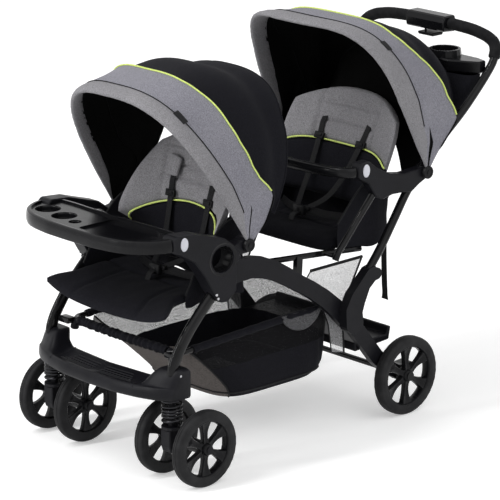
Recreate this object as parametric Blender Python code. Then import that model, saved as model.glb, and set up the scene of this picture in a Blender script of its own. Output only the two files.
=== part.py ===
"""Sit and stand stroller: two seats in line on one folding frame.

Metres, +Z up. The front faces -Y and the left side of the stroller is +X.
Side outlines are (y, z) points, plan outlines are (x, y) points.
"""
import math

import bmesh
import bpy
from mathutils import Vector

# Clearances
SEAT_GAP = 0.0003      # two pieces that rest on each other
RUN_GAP = 0.0008       # two pieces that slide or turn past each other
BORE_GAP = 0.0004      # round a tube or shaft in its hole

# Side planes of the frame, as distances from the middle
ARCH_INNER_X = 0.240
ARCH_THICKNESS = 0.022
TUBE_RADIUS = 0.0125
TUBE_WALL_COVER = 0.0025     # cover material round the handle tube
HUB_THICKNESS = 0.050
RAIL_RADIUS = 0.009
SEAT_HALF_WIDTH = 0.205
BASKET_TUBE_RADIUS = 0.008

ARCH_OUTER_X = ARCH_INNER_X + ARCH_THICKNESS
HUB_OUTER_X = ARCH_INNER_X + HUB_THICKNESS
RAIL_X = ARCH_INNER_X - RAIL_RADIUS - 0.003
UPRIGHT_INNER_X = ARCH_OUTER_X + RUN_GAP
TUBE_X = UPRIGHT_INNER_X + TUBE_WALL_COVER + TUBE_RADIUS
UPRIGHT_OUTER_X = TUBE_X + TUBE_RADIUS + TUBE_WALL_COVER

# Wheels
REAR_WHEEL_RADIUS = 0.118
REAR_WHEEL_WIDTH = 0.036
REAR_AXLE = (0.400, REAR_WHEEL_RADIUS)
REAR_AXLE_RADIUS = 0.0085
FRONT_WHEEL_RADIUS = 0.109
FRONT_WHEEL_WIDTH = 0.034
CASTER_X = 0.2526
CASTER_Y = -0.484
CASTER_TRAIL = 0.048
CASTER_HALF_TRACK = 0.078
FRONT_AXLE_RADIUS = 0.0055
TYRE_DEPTH = 0.026
RIM_DEPTH = 0.008
HUB_BARREL_RADIUS = 0.019
SPOKES = 6
AXLE_CAP = 0.003

# Sprung caster stem
FOOTREST_BOTTOM = 0.248
STEM_RADIUS = 0.011
STEM_FLANGE_RADIUS = 0.030
STEM_FLANGE_Z = 0.160
STEM_FLANGE_THICKNESS = 0.008
STEM_INSERTION = 0.050
PIVOT_PIN_RADIUS = 0.007
PIVOT_PIN_DEPTH = 0.030
SPRING_TRAVEL = 0.012
SPRING_WIRE_RADIUS = 0.0030
SPRING_RADIUS = 0.024
SPRING_CURLS = 6
FORK_HALF_WIDTH = 0.019

# Footrest
SOCKET_HEIGHT = 0.084
TREAD_HEIGHT = 0.042

# Pivots, as (y, z)
FOLD_PIVOT = (0.182, 0.330)
FRONT_CANOPY_PIVOT = (-0.225, 0.636)
REAR_CANOPY_PIVOT = (0.463, 0.723)
FRONT_BACK_PIVOT = (-0.185, 0.557)
REAR_BACK_PIVOT = (0.370, 0.628)
PIVOT_RADIUS = 0.010
SEAT_PIN_RADIUS = 0.006

# Buttons
BUTTON_HALF = (0.013, 0.019)
BUTTON_TRAVEL = 0.004
BUTTON_PROUD = 0.003
BUTTON_LENGTH = 0.012
TRAY_BUTTON = (-0.468, 0.686)
ARMREST_BUTTON = (0.219, 0.769)

# Canopies
CANOPY_SKIN = 0.005
FRONT_CANOPY_HALF = 0.2845
PANEL_GAP = 0.0010
RIM_THICKNESS = 0.020
CANOPY_DISC_RADIUS = 0.021
REAR_PANEL_HALF = TUBE_X - TUBE_RADIUS + 0.0015
HUB_LUG_X = FRONT_CANOPY_HALF - CANOPY_SKIN - 2 * RUN_GAP
ARMREST_OUTER_X = UPRIGHT_OUTER_X + 0.001
REAR_CANOPY_HALF = ARMREST_OUTER_X + CANOPY_SKIN + 4 * RUN_GAP

# Tray and its cup wells
TRAY_TOP = TRAY_BUTTON[1] + 0.020
TRAY_THICKNESS = 0.038
CUP_RADIUS = 0.036
CUP_DEPTH = 0.028

# Handle
GRIP_RADIUS = 0.0175
BLOCK_HALF = 0.078
TRIGGER_TRAVEL = 0.006

# Basket
BASKET_WALL = 0.004

COLOURS = {
    "black_tube": ((0.012, 0.012, 0.013, 1), 0.22, 0.5),
    "black_plastic": ((0.018, 0.018, 0.020, 1), 0.42, 0.0),
    "tyre_rubber": ((0.030, 0.030, 0.032, 1), 0.75, 0.0),
    "steel": ((0.55, 0.55, 0.56, 1), 0.30, 1.0),
    "black_spring": ((0.025, 0.025, 0.027, 1), 0.35, 0.8),
    "silver_plastic": ((0.62, 0.63, 0.66, 1), 0.35, 0.0),
    "foam": ((0.020, 0.020, 0.021, 1), 0.90, 0.0),
    "grey_fabric": ((0.27, 0.27, 0.30, 1), 0.92, 0.0),
    "black_fabric": ((0.014, 0.014, 0.016, 1), 0.88, 0.0),
    "mesh_fabric": ((0.10, 0.10, 0.11, 1), 0.85, 0.0),
}


def clear_scene():
    for obj in list(bpy.data.objects):
        bpy.data.objects.remove(obj, do_unlink=True)


def material(name):
    mat = bpy.data.materials.get(name)
    if mat is None:
        colour, roughness, metallic = COLOURS[name]
        mat = bpy.data.materials.new(name)
        mat.use_nodes = True
        shader = mat.node_tree.nodes["Principled BSDF"]
        shader.inputs["Base Color"].default_value = colour
        shader.inputs["Roughness"].default_value = roughness
        shader.inputs["Metallic"].default_value = metallic
    return mat


def finish_mesh(name, bm, finish, origin=(0.0, 0.0, 0.0), smooth=35.0):
    """Turns a bmesh in world places into an object whose origin is at the given point."""
    bmesh.ops.remove_doubles(bm, verts=bm.verts, dist=1e-6)
    bmesh.ops.recalc_face_normals(bm, faces=bm.faces)
    bmesh.ops.translate(bm, verts=bm.verts, vec=-Vector(origin))
    mesh = bpy.data.meshes.new(name)
    bm.to_mesh(mesh)
    bm.free()
    obj = bpy.data.objects.new(name, mesh)
    obj.location = origin
    bpy.context.collection.objects.link(obj)
    mesh.materials.append(material(finish))
    mesh.shade_smooth()
    mesh.set_sharp_from_angle(angle=math.radians(smooth))
    return obj


def as_cutter(obj):
    obj.hide_render = True
    obj.display_type = "WIRE"
    return obj


def boolean(obj, other, operation):
    mod = obj.modifiers.new(operation.lower(), "BOOLEAN")
    mod.operation = operation
    mod.solver = "EXACT"
    mod.object = as_cutter(other)


def soften(obj, width, segments=1, angle=40.0):
    mod = obj.modifiers.new("bevel", "BEVEL")
    mod.width = width
    mod.segments = segments
    mod.limit_method = "ANGLE"
    mod.angle_limit = math.radians(angle)


def arc(centre, radius, start, end, steps):
    """Points on a round stretch of an outline, in degrees, both ends included."""
    points = []
    for i in range(steps + 1):
        a = math.radians(start + (end - start) * i / steps)
        points.append((centre[0] + radius * math.cos(a), centre[1] + radius * math.sin(a)))
    return points


def slab(name, points, finish, origin, lift, smooth=35.0):
    """Closes a flat outline into a face and draws it out by the vector lift."""
    bm = bmesh.new()
    face = bm.faces.new([bm.verts.new(p) for p in points])
    drawn = bmesh.ops.extrude_face_region(bm, geom=[face])
    moved = [g for g in drawn["geom"] if isinstance(g, bmesh.types.BMVert)]
    bmesh.ops.translate(bm, verts=moved, vec=lift)
    return finish_mesh(name, bm, finish, origin, smooth)


def side_plate(name, outline, inner_x, outer_x, side, finish, origin=(0.0, 0.0, 0.0)):
    """A plate in the side plane, drawn out along X; side is 1 for left and -1 for right."""
    points = [(side * inner_x, y, z) for y, z in outline]
    return slab(name, points, finish, origin, (side * (outer_x - inner_x), 0, 0))


def flat_plate(name, outline, low, high, finish, origin=(0.0, 0.0, 0.0)):
    """A plate lying flat, from its plan outline."""
    return slab(name, [(x, y, low) for x, y in outline], finish, origin, (0, 0, high - low))


def smooth_route(points, per_span=4):
    """A smooth curve through the given 3-D points."""
    pts = [Vector(p) for p in points]
    route = []
    for i in range(len(pts) - 1):
        before = pts[i - 1] if i > 0 else pts[0] * 2 - pts[1]
        after = pts[i + 2] if i + 2 < len(pts) else pts[-1] * 2 - pts[-2]
        for step in range(per_span):
            t = step / per_span
            a = 2 * pts[i]
            b = (pts[i + 1] - before) * t
            c = (2 * before - 5 * pts[i] + 4 * pts[i + 1] - after) * t * t
            d = (3 * pts[i] - before - 3 * pts[i + 1] + after) * t * t * t
            route.append((a + b + c + d) / 2)
    route.append(pts[-1])
    return route


def sweep(name, route, half_a, half_b, finish, origin=(0.0, 0.0, 0.0), sides=8, across=(1, 0, 0)):
    """A closed tube of oval section along a route: half_a starts near the across direction."""
    route = [Vector(p) for p in route]
    a = Vector(across)
    bm = bmesh.new()
    rings = []
    for i, p in enumerate(route):
        ahead = route[min(i + 1, len(route) - 1)] - route[max(i - 1, 0)]
        ahead.normalize()
        a = (a - ahead * a.dot(ahead)).normalized()
        b = ahead.cross(a)
        ring = []
        for k in range(sides):
            t = 2 * math.pi * k / sides
            ring.append(bm.verts.new(p + a * half_a * math.cos(t) + b * half_b * math.sin(t)))
        rings.append(ring)
    for one, two in zip(rings, rings[1:]):
        for k in range(sides):
            bm.faces.new((one[k], one[(k + 1) % sides], two[(k + 1) % sides], two[k]))
    bm.faces.new(rings[0][::-1])
    bm.faces.new(rings[-1])
    return finish_mesh(name, bm, finish, origin)


def turned(name, profile, centre, axis, finish, steps=24, origin=None, smooth=35.0):
    """A turned piece: profile is a closed loop of (along, radius) points about the axis X or Z."""
    bm = bmesh.new()
    rings = []
    for i in range(steps):
        t = 2 * math.pi * i / steps
        ring = []
        for along, radius in profile:
            u, v = radius * math.cos(t), radius * math.sin(t)
            offset = (along, u, v) if axis == "X" else (u, v, along)
            ring.append(bm.verts.new(Vector(centre) + Vector(offset)))
        rings.append(ring)
    count = len(profile)
    for i in range(steps):
        one, two = rings[i], rings[(i + 1) % steps]
        for k in range(count):
            bm.faces.new((one[k], one[(k + 1) % count], two[(k + 1) % count], two[k]))
    return finish_mesh(name, bm, finish, origin or centre, smooth)


def rod(name, profile, centre, axis, finish, steps=16, origin=None):
    """A solid turned piece: profile runs from one end to the other, as (along, radius) points."""
    bm = bmesh.new()
    rings = []
    for along, radius in profile:
        ring = []
        for i in range(steps):
            t = 2 * math.pi * i / steps
            u, v = radius * math.cos(t), radius * math.sin(t)
            offset = (along, u, v) if axis == "X" else (u, v, along)
            ring.append(bm.verts.new(Vector(centre) + Vector(offset)))
        rings.append(ring)
    for one, two in zip(rings, rings[1:]):
        for i in range(steps):
            bm.faces.new((one[i], one[(i + 1) % steps], two[(i + 1) % steps], two[i]))
    bm.faces.new(rings[0])
    bm.faces.new(rings[-1])
    return finish_mesh(name, bm, finish, origin or centre)


def side_name(side):
    return "left" if side > 0 else "right"


def wheel(label, x, y, radius, width, axle_radius, steps, way, inner_face, outer_face):
    """Tyre and rim of one wheel. The faces are where the hub barrel ends, from the wheel's middle,
    with the outer one on the side that way (1 or -1) names."""
    centre = (x, y, radius)
    half = width / 2
    tread = radius - 0.004
    inside = radius - TYRE_DEPTH
    tyre = [(-half * 0.62, radius), (half * 0.62, radius), (half, tread - 0.004), (half * 0.92, inside),
            (-half * 0.92, inside), (-half, tread - 0.004)]
    turned("tyre_" + label, tyre, centre, "X", "tyre_rubber", steps)
    seat = inside - SEAT_GAP
    rim_half = half * 0.86
    web = half * 0.42
    bore = axle_radius + BORE_GAP
    rim = [(-rim_half, seat), (rim_half, seat), (web, seat - RIM_DEPTH), (web, HUB_BARREL_RADIUS),
           (outer_face, HUB_BARREL_RADIUS * 0.8), (outer_face, bore), (inner_face, bore),
           (inner_face, HUB_BARREL_RADIUS), (-web, HUB_BARREL_RADIUS), (-web, seat - RIM_DEPTH)]
    rim = [(way * along, r) for along, r in rim]
    rim_obj = turned("rim_" + label, rim, centre, "X", "black_plastic", steps)
    windows = bmesh.new()
    near = HUB_BARREL_RADIUS + 0.011
    far = seat - RIM_DEPTH - 0.004
    for n in range(SPOKES):
        middle = 2 * math.pi * (n + 0.5) / SPOKES
        corners = [(near, -0.20), (near, 0.20), (far, 0.32), (far, -0.32)]
        points = []
        for r, turn in corners:
            a = middle + turn
            points.append(windows.verts.new((x - width, y + r * math.cos(a), radius + r * math.sin(a))))
        face = windows.faces.new(points)
        drawn = bmesh.ops.extrude_face_region(windows, geom=[face])
        moved = [g for g in drawn["geom"] if isinstance(g, bmesh.types.BMVert)]
        bmesh.ops.translate(windows, verts=moved, vec=(2 * width, 0, 0))
    boolean(rim_obj, finish_mesh("cut_windows_" + label, windows, "black_plastic", centre), "DIFFERENCE")


def helix(turns_of_wire, radius, low, high):
    """A wire that climbs at a steady rate, one point every 45 degrees."""
    points = []
    steps = 8 * turns_of_wire
    for i in range(steps + 1):
        a = 2 * math.pi * i / 8
        points.append(Vector((radius * math.cos(a), radius * math.sin(a), low + (high - low) * i / steps)))
    return points


def least_self_gap(points, wire_radius, skip):
    """The least clear distance between two stretches of one wire."""
    least = 1.0
    for i, p in enumerate(points):
        for q in points[i + skip:]:
            least = min(least, (p - q).length)
    return least - 2 * wire_radius


def caster(side):
    """Sprung stem, coil spring, fork and the two wheels of one front caster."""
    name = side_name(side)
    x = side * CASTER_X
    stem = (x, CASTER_Y, 0.0)
    flange_top = STEM_FLANGE_Z + STEM_FLANGE_THICKNESS
    stem_top = FOOTREST_BOTTOM + STEM_INSERTION
    profile = [(STEM_FLANGE_Z - PIVOT_PIN_DEPTH, PIVOT_PIN_RADIUS), (STEM_FLANGE_Z, PIVOT_PIN_RADIUS),
               (STEM_FLANGE_Z, STEM_FLANGE_RADIUS), (flange_top, STEM_FLANGE_RADIUS),
               (flange_top, STEM_RADIUS), (stem_top, STEM_RADIUS)]
    rod("caster_stem_" + name, profile, stem, "Z", "black_plastic", 16)

    low = flange_top + SEAT_GAP + SPRING_WIRE_RADIUS
    high = FOOTREST_BOTTOM - SEAT_GAP - SPRING_WIRE_RADIUS
    coil = helix(SPRING_CURLS, SPRING_RADIUS, low, high)
    print("least gap in the", name, "caster spring:",
          round(1000 * least_self_gap(coil, SPRING_WIRE_RADIUS, 5), 2), "mm")
    curve = bpy.data.curves.new("caster_spring_" + name, "CURVE")
    curve.dimensions = "3D"
    curve.bevel_depth = SPRING_WIRE_RADIUS
    curve.bevel_resolution = 1
    curve.use_fill_caps = True
    spline = curve.splines.new("POLY")
    spline.points.add(len(coil) - 1)
    for point, place in zip(spline.points, coil):
        point.co = (place.x, place.y, place.z, 1.0)
    spring = bpy.data.objects.new("caster_spring_" + name, curve)
    spring.location = stem
    curve.materials.append(material("black_spring"))
    bpy.context.collection.objects.link(spring)

    axle_y = CASTER_Y + CASTER_TRAIL
    top = STEM_FLANGE_Z - SEAT_GAP
    boss = arc((axle_y, FRONT_WHEEL_RADIUS), 0.020, 60, -120, 8)
    outline = [(CASTER_Y - 0.026, top), (CASTER_Y + 0.022, top), (CASTER_Y + 0.032, top - 0.014)]
    outline += boss + [(CASTER_Y - 0.020, 0.094), (CASTER_Y - 0.026, 0.112)]
    fork = side_plate("caster_fork_" + name, outline, x - FORK_HALF_WIDTH, x + FORK_HALF_WIDTH, 1,
                      "black_plastic", stem)
    soften(fork, 0.003)
    bore = rod("cut_pin_" + name, [(top - PIVOT_PIN_DEPTH - RUN_GAP, PIVOT_PIN_RADIUS + BORE_GAP),
                                   (top + 0.01, PIVOT_PIN_RADIUS + BORE_GAP)], stem, "Z", "black_plastic", 16)
    boolean(fork, bore, "DIFFERENCE")
    face = CASTER_HALF_TRACK + FRONT_WHEEL_WIDTH / 2 + 0.005
    cap = FRONT_AXLE_RADIUS * 2
    axle = [(-face - SEAT_GAP - AXLE_CAP, cap), (-face - SEAT_GAP, cap), (-face - SEAT_GAP, FRONT_AXLE_RADIUS),
            (face + SEAT_GAP, FRONT_AXLE_RADIUS), (face + SEAT_GAP, cap), (face + SEAT_GAP + AXLE_CAP, cap)]
    spindle = rod("add_axle_" + name, axle, (x, axle_y, FRONT_WHEEL_RADIUS), "X", "black_plastic", 12)
    boolean(fork, spindle, "UNION")
    inward = FORK_HALF_WIDTH + RUN_GAP - CASTER_HALF_TRACK
    outward = FRONT_WHEEL_WIDTH / 2 + 0.005
    for way, place in ((1, "outer"), (-1, "inner")):
        label = "front_" + name + "_" + place
        sign = side * way
        wheel(label, x + sign * CASTER_HALF_TRACK, axle_y, FRONT_WHEEL_RADIUS, FRONT_WHEEL_WIDTH,
              FRONT_AXLE_RADIUS, 20, sign, inward, outward)


def footrest():
    """Moulded footrest that carries both casters and both front legs."""
    low = FOOTREST_BOTTOM
    corner_x = CASTER_X + 0.035
    half = [(0.0, -0.582), (0.110, -0.578), (0.190, -0.562), (0.250, -0.540), (corner_x, -0.512),
            (corner_x, -0.446), (0.222, -0.446), (0.205, -0.470), (0.0, -0.486)]
    outline = half + [(-px, py) for px, py in half[-2:0:-1]]
    rest = flat_plate("footrest", outline, low, low + TREAD_HEIGHT, "black_plastic")
    for side in (1, -1):
        name = side_name(side)
        block = [(0.228, -0.528), (0.262, -0.530), (corner_x - 0.004, -0.508), (corner_x - 0.004, -0.450),
                 (0.228, -0.450)]
        block = [(side * px, py) for px, py in block]
        socket = flat_plate("add_socket_" + name, block, low + 0.012, low + SOCKET_HEIGHT, "black_plastic")
        boolean(rest, socket, "UNION")
        stem_hole = rod("cut_stem_" + name,
                        [(low - 0.01, STEM_RADIUS + BORE_GAP),
                         (low + STEM_INSERTION + SPRING_TRAVEL + 0.002, STEM_RADIUS + BORE_GAP)],
                        (side * CASTER_X, CASTER_Y, 0.0), "Z", "black_plastic", 16)
        boolean(rest, stem_hole, "DIFFERENCE")
        boolean(rest, leg_tube("cut_leg_low_" + name, side, BORE_GAP), "DIFFERENCE")


LEG_SIDE_HALF = 0.011
LEG_FRONT_HALF = 0.018
LEG_X = CASTER_X + 0.008


def leg_tube(name, side, extra=0.0):
    """The curved front leg, or with extra the hole that it needs."""
    x = side * LEG_X
    points = [(x, -0.4875, 0.3145), (x, -0.484, 0.336), (x, -0.469, 0.369), (x, -0.436, 0.416),
              (x, -0.402, 0.454), (x, -0.362, 0.494), (x, -0.336, 0.518)]
    route = smooth_route(points, 2)
    if extra:
        ahead = (route[-1] - route[-2]).normalized()
        back = (route[0] - route[1]).normalized()
        route[0] = route[0] + back * SEAT_GAP * 2
        route[-1] = route[-1] + ahead * SEAT_GAP * 2
    return sweep(name, route, LEG_SIDE_HALF + extra, LEG_FRONT_HALF + extra, "black_tube", sides=10)


def front_hub(side):
    """Moulded hub that joins the front leg, the arch rail, the tray and the front canopy."""
    name = side_name(side)
    py, pz = FRONT_CANOPY_PIVOT
    by, bz = TRAY_BUTTON
    outline = [(by - 0.034, bz - 0.020), (by - 0.036, bz + 0.016), (by - 0.024, bz + 0.025),
               (by + 0.042, bz + 0.020), (-0.360, 0.686), (-0.318, 0.674), (-0.285, 0.650), (-0.262, 0.618),
               (-0.258, 0.604), (-0.276, 0.598), (-0.276, 0.520), (-0.306, 0.492), (-0.334, 0.494),
               (-0.362, 0.530), (-0.392, 0.580), (-0.430, 0.628), (by - 0.012, bz - 0.028)]
    hub = side_plate("front_hub_" + name, outline, ARCH_INNER_X, HUB_OUTER_X, side, "black_plastic")
    soften(hub, 0.003)
    lug = [(-0.300, 0.612)] + arc((py, pz), 0.022, -95, 140, 8) + [(-0.290, 0.640)]
    boolean(hub, side_plate("add_lug_" + name, lug, ARCH_INNER_X + 0.002, HUB_LUG_X, side, "black_plastic"), "UNION")
    ring = [(-0.328 + 0.041 * math.cos(a * math.pi / 7), 0.617 + 0.038 * math.sin(a * math.pi / 7))
            for a in range(14)]
    boolean(hub, side_plate("cut_ring_" + name, ring, ARCH_INNER_X - 0.01, HUB_OUTER_X + 0.01, side,
                            "black_plastic"), "DIFFERENCE")
    boolean(hub, oval("cut_button_" + name, TRAY_BUTTON, side, HUB_OUTER_X, True), "DIFFERENCE")
    boolean(hub, leg_tube("cut_leg_high_" + name, side, BORE_GAP), "DIFFERENCE")


def oval(name, centre, side, face_x, pocket=False, finish="silver_plastic"):
    """A push button standing in the outer face of a moulding, or the pocket that it needs."""
    extra = BORE_GAP if pocket else 0.0
    outer = face_x + (0.01 if pocket else BUTTON_PROUD)
    inner = face_x + BUTTON_PROUD - BUTTON_LENGTH - (BUTTON_TRAVEL + RUN_GAP if pocket else 0.0)
    points = []
    for i in range(12):
        a = 2 * math.pi * i / 12
        points.append((centre[0] + (BUTTON_HALF[0] + extra) * math.cos(a),
                       centre[1] + (BUTTON_HALF[1] + extra) * math.sin(a)))
    return side_plate(name, points, inner, outer, side, finish, (side * face_x, centre[0], centre[1]))


def band(centres, halves):
    """Outline of a curved bar, from its centre line and half widths."""
    upper, lower = [], []
    for i, (y, z) in enumerate(centres):
        y0, z0 = centres[max(i - 1, 0)]
        y1, z1 = centres[min(i + 1, len(centres) - 1)]
        length = math.hypot(y1 - y0, z1 - z0)
        ny, nz = -(z1 - z0) / length, (y1 - y0) / length
        upper.append((y + ny * halves[i], z + nz * halves[i]))
        lower.append((y - ny * halves[i], z - nz * halves[i]))
    return upper + lower[::-1]


def arch_rail(side):
    """The long arch from the front hub over the basket and down to the rear axle."""
    name = side_name(side)
    ay, az = REAR_AXLE
    py, pz = FOLD_PIVOT
    centres = [(-0.2757, 0.560), (-0.235, 0.561), (-0.190, 0.560), (-0.150, 0.551), (-0.105, 0.533),
               (-0.060, 0.508), (-0.016, 0.481), (0.040, 0.448), (0.090, 0.413), (0.138, 0.373),
               (py, pz), (0.216, 0.298), (0.262, 0.243), (0.305, 0.190), (0.352, 0.146), (ay - 0.012, az + 0.008)]
    halves = [0.034, 0.033, 0.031, 0.030, 0.028, 0.026, 0.024, 0.024, 0.025, 0.026,
              0.027, 0.024, 0.023, 0.023, 0.022, 0.020]
    outline = band(centres, halves)
    middle = len(centres)
    outline = outline[:middle] + arc((ay, az), 0.021, 55, -125, 6) + outline[middle:]
    outline[0] = (-0.2757, outline[0][1])
    outline[-1] = (-0.2757, outline[-1][1])
    rail = side_plate("arch_rail_" + name, outline, ARCH_INNER_X, ARCH_OUTER_X, side, "black_plastic")
    bore_x = (ARCH_INNER_X - 0.01, ARCH_OUTER_X + 0.01)
    for label, centre, radius in (("pivot", FOLD_PIVOT, PIVOT_RADIUS), ("axle", REAR_AXLE, REAR_AXLE_RADIUS)):
        hole = rod("cut_" + label + "_" + name, [(side * bore_x[0], radius + BORE_GAP),
                                                 (side * bore_x[1], radius + BORE_GAP)],
                   (0.0, centre[0], centre[1]), "X", "black_plastic", 16)
        boolean(rail, hole, "DIFFERENCE")


def handle_route(side=1):
    """Centre line of the handle tube from the upright to the middle of the grip."""
    x = TUBE_X
    side_points = [(x, 0.2235, 0.4405), (x, 0.293, 0.521), (x, 0.350, 0.600), (x, 0.405, 0.677),
                   (x, 0.475, 0.750), (x, 0.552, 0.813), (x, 0.632, 0.875), (x, 0.700, 0.9375),
                   (x, 0.745, 0.985), (x - 0.001, 0.762, 1.010), (x - 0.006, 0.7725, 1.033),
                   (x - 0.020, 0.781, 1.050), (x - 0.040, 0.7835, 1.0605), (x - 0.066, 0.785, 1.068),
                   (x - 0.130, 0.786, 1.077), (0.0, 0.786, 1.081)]
    return [(side * px, py, pz) for px, py, pz in side_points]


GRIP_START = 9     # the grip begins at this point of the handle route


def handle():
    """Bent handle tube, foam grip, middle block with its fold trigger."""
    half = handle_route()
    route = half + [(-px, py, pz) for px, py, pz in half[-2::-1]]
    pivot = (0.0, FOLD_PIVOT[0], FOLD_PIVOT[1])
    sweep("handle_tube", route, TUBE_RADIUS, TUBE_RADIUS, "black_tube", pivot)
    held = route[GRIP_START:len(route) - GRIP_START]
    grip = sweep("handle_grip", held, GRIP_RADIUS, GRIP_RADIUS, "foam", pivot)
    long_run = route[GRIP_START - 1:len(route) - GRIP_START + 1]
    boolean(grip, sweep("cut_grip", long_run, TUBE_RADIUS + BORE_GAP, TUBE_RADIUS + BORE_GAP, "foam"),
            "DIFFERENCE")
    gy, gz = 0.786, 1.081
    section = [(gy - 0.030, gz - 0.024), (gy + 0.024, gz - 0.028), (gy + 0.029, gz - 0.004),
               (gy + 0.020, gz + 0.022), (gy - 0.024, gz + 0.022), (gy - 0.034, gz + 0.004)]
    block = side_plate("handle_block", section, -BLOCK_HALF, BLOCK_HALF, 1, "black_plastic", pivot)
    soften(block, 0.004)
    boolean(block, sweep("cut_block", held, GRIP_RADIUS + BORE_GAP, GRIP_RADIUS + BORE_GAP, "foam"),
            "DIFFERENCE")
    lower = gz - 0.0285 - RUN_GAP - TRIGGER_TRAVEL
    key = [(gy - 0.025, lower - 0.010), (gy + 0.018, lower - 0.010), (gy + 0.022, lower),
           (gy - 0.0295, lower)]
    trigger = side_plate("fold_trigger", key, -0.030, 0.030, 1, "black_plastic", (0.0, gy, lower))
    soften(trigger, 0.002)
    guide = rod("add_guide", [(lower - 0.001, 0.0035), (gz - 0.022, 0.0035)], (0.0, gy - 0.0245, 0.0), "Z",
                "black_plastic", 8, (0.0, gy, lower))
    boolean(trigger, guide, "UNION")
    slot = rod("cut_guide", [(lower, 0.0035 + BORE_GAP), (gz - 0.022 + TRIGGER_TRAVEL + 0.001, 0.0035 + BORE_GAP)],
               (0.0, gy - 0.0245, 0.0), "Z", "black_plastic", 8)
    boolean(block, slot, "DIFFERENCE")


def rear_upright(side):
    """Moulding that holds the foot of the handle tube and turns on the arch rail's pivot pin."""
    name = side_name(side)
    py, pz = FOLD_PIVOT
    outline = arc((py, pz), 0.036, 200, 340, 8)
    outline += [(0.212, 0.352), (0.221, 0.378), (0.240, 0.418), (0.262, 0.436)]
    outline += arc((0.270, 0.455), 0.018, -60, 100, 6)
    outline += [(0.262, 0.481), (0.236, 0.4755), (0.214, 0.455), (0.170, 0.413), (0.146, 0.372)]
    upright = side_plate("rear_upright_" + name, outline, UPRIGHT_INNER_X, UPRIGHT_OUTER_X, side,
                         "black_plastic", (0.0, py, pz))
    pin_inner = ARCH_INNER_X + 0.002
    pin = rod("add_pin_" + name, [(side * pin_inner, PIVOT_RADIUS), (side * (UPRIGHT_INNER_X + 0.008), PIVOT_RADIUS)],
              (0.0, py, pz), "X", "black_plastic", 16)
    boolean(upright, pin, "UNION")
    foot = [Vector(p) for p in handle_route(side)[:3]]
    foot[0] = foot[0] + (foot[0] - foot[1]).normalized() * SEAT_GAP * 2
    boolean(upright, sweep("cut_foot_" + name, foot, TUBE_RADIUS + BORE_GAP,
                           TUBE_RADIUS + BORE_GAP, "black_tube"), "DIFFERENCE")


def seat_tube_route(side):
    x = side * TUBE_X
    return [(x, 0.114, 0.523), (x, 0.124, 0.542), (x, 0.142, 0.562), (x, 0.200, 0.624), (x, 0.262, 0.690)]


def seat_tube(side):
    """Short tube from the rear armrest down to the seat rail's stop."""
    pivot = (0.0, FOLD_PIVOT[0], FOLD_PIVOT[1])
    sweep("seat_tube_" + side_name(side), seat_tube_route(side), TUBE_RADIUS * 0.8, TUBE_RADIUS * 0.8,
          "black_tube", pivot)


def rear_armrest(side):
    """Armrest moulding on the handle tube, with the grab bar's socket and the canopy's lug."""
    name = side_name(side)
    py, pz = REAR_CANOPY_PIVOT
    by, bz = ARMREST_BUTTON
    pivot = (0.0, FOLD_PIVOT[0], FOLD_PIVOT[1])
    outline = [(by - 0.027, bz - 0.018), (by - 0.029, bz + 0.012), (by - 0.020, bz + 0.024),
               (by + 0.014, bz + 0.026), (0.262, 0.772), (0.320, 0.742), (0.375, 0.733), (0.425, 0.736)]
    outline += arc((py, pz), 0.020, 130, -60, 8)
    outline += [(0.440, 0.692), (0.405, 0.672), (0.372, 0.678), (0.330, 0.680), (0.290, 0.672),
                (0.262, 0.684), (by + 0.012, bz - 0.040)]
    outer = ARMREST_OUTER_X
    rest = side_plate("rear_armrest_" + name, outline, ARCH_OUTER_X - 0.001, outer, side, "black_plastic", pivot)
    soften(rest, 0.003)
    tube = handle_route(side)[2:7]
    boolean(rest, sweep("cut_rest_tube_" + name, tube, TUBE_RADIUS + BORE_GAP, TUBE_RADIUS + BORE_GAP,
                        "black_tube"), "DIFFERENCE")
    stub = seat_tube_route(side)
    ahead = (Vector(stub[-1]) - Vector(stub[-2])).normalized()
    stub[-1] = Vector(stub[-1]) + ahead * SEAT_GAP * 2
    boolean(rest, sweep("cut_rest_stub_" + name, stub, TUBE_RADIUS * 0.8 + BORE_GAP,
                        TUBE_RADIUS * 0.8 + BORE_GAP, "black_tube"), "DIFFERENCE")
    boolean(rest, oval("cut_rest_button_" + name, ARMREST_BUTTON, side, outer, True), "DIFFERENCE")
    oval("armrest_button_" + name, ARMREST_BUTTON, side, outer)


def grab_bar():
    """Bar across the rear seat, from armrest to armrest."""
    end_x = ARCH_OUTER_X + 0.013
    start_y = ARMREST_BUTTON[0] - 0.029 - SEAT_GAP * 2
    z = ARMREST_BUTTON[1] - 0.003
    half = [(end_x, start_y, z), (end_x - 0.003, start_y - 0.012, z), (0.238, 0.156, z), (0.200, 0.140, z),
            (0.120, 0.134, z), (0.0, 0.132, z)]
    full = half + [(-px, py, pz) for px, py, pz in half[-2::-1]]
    sweep("grab_bar", smooth_route(full, 2), 0.015, 0.011, "black_plastic", (0.0, start_y, z), across=(0, 0, 1))


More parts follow.
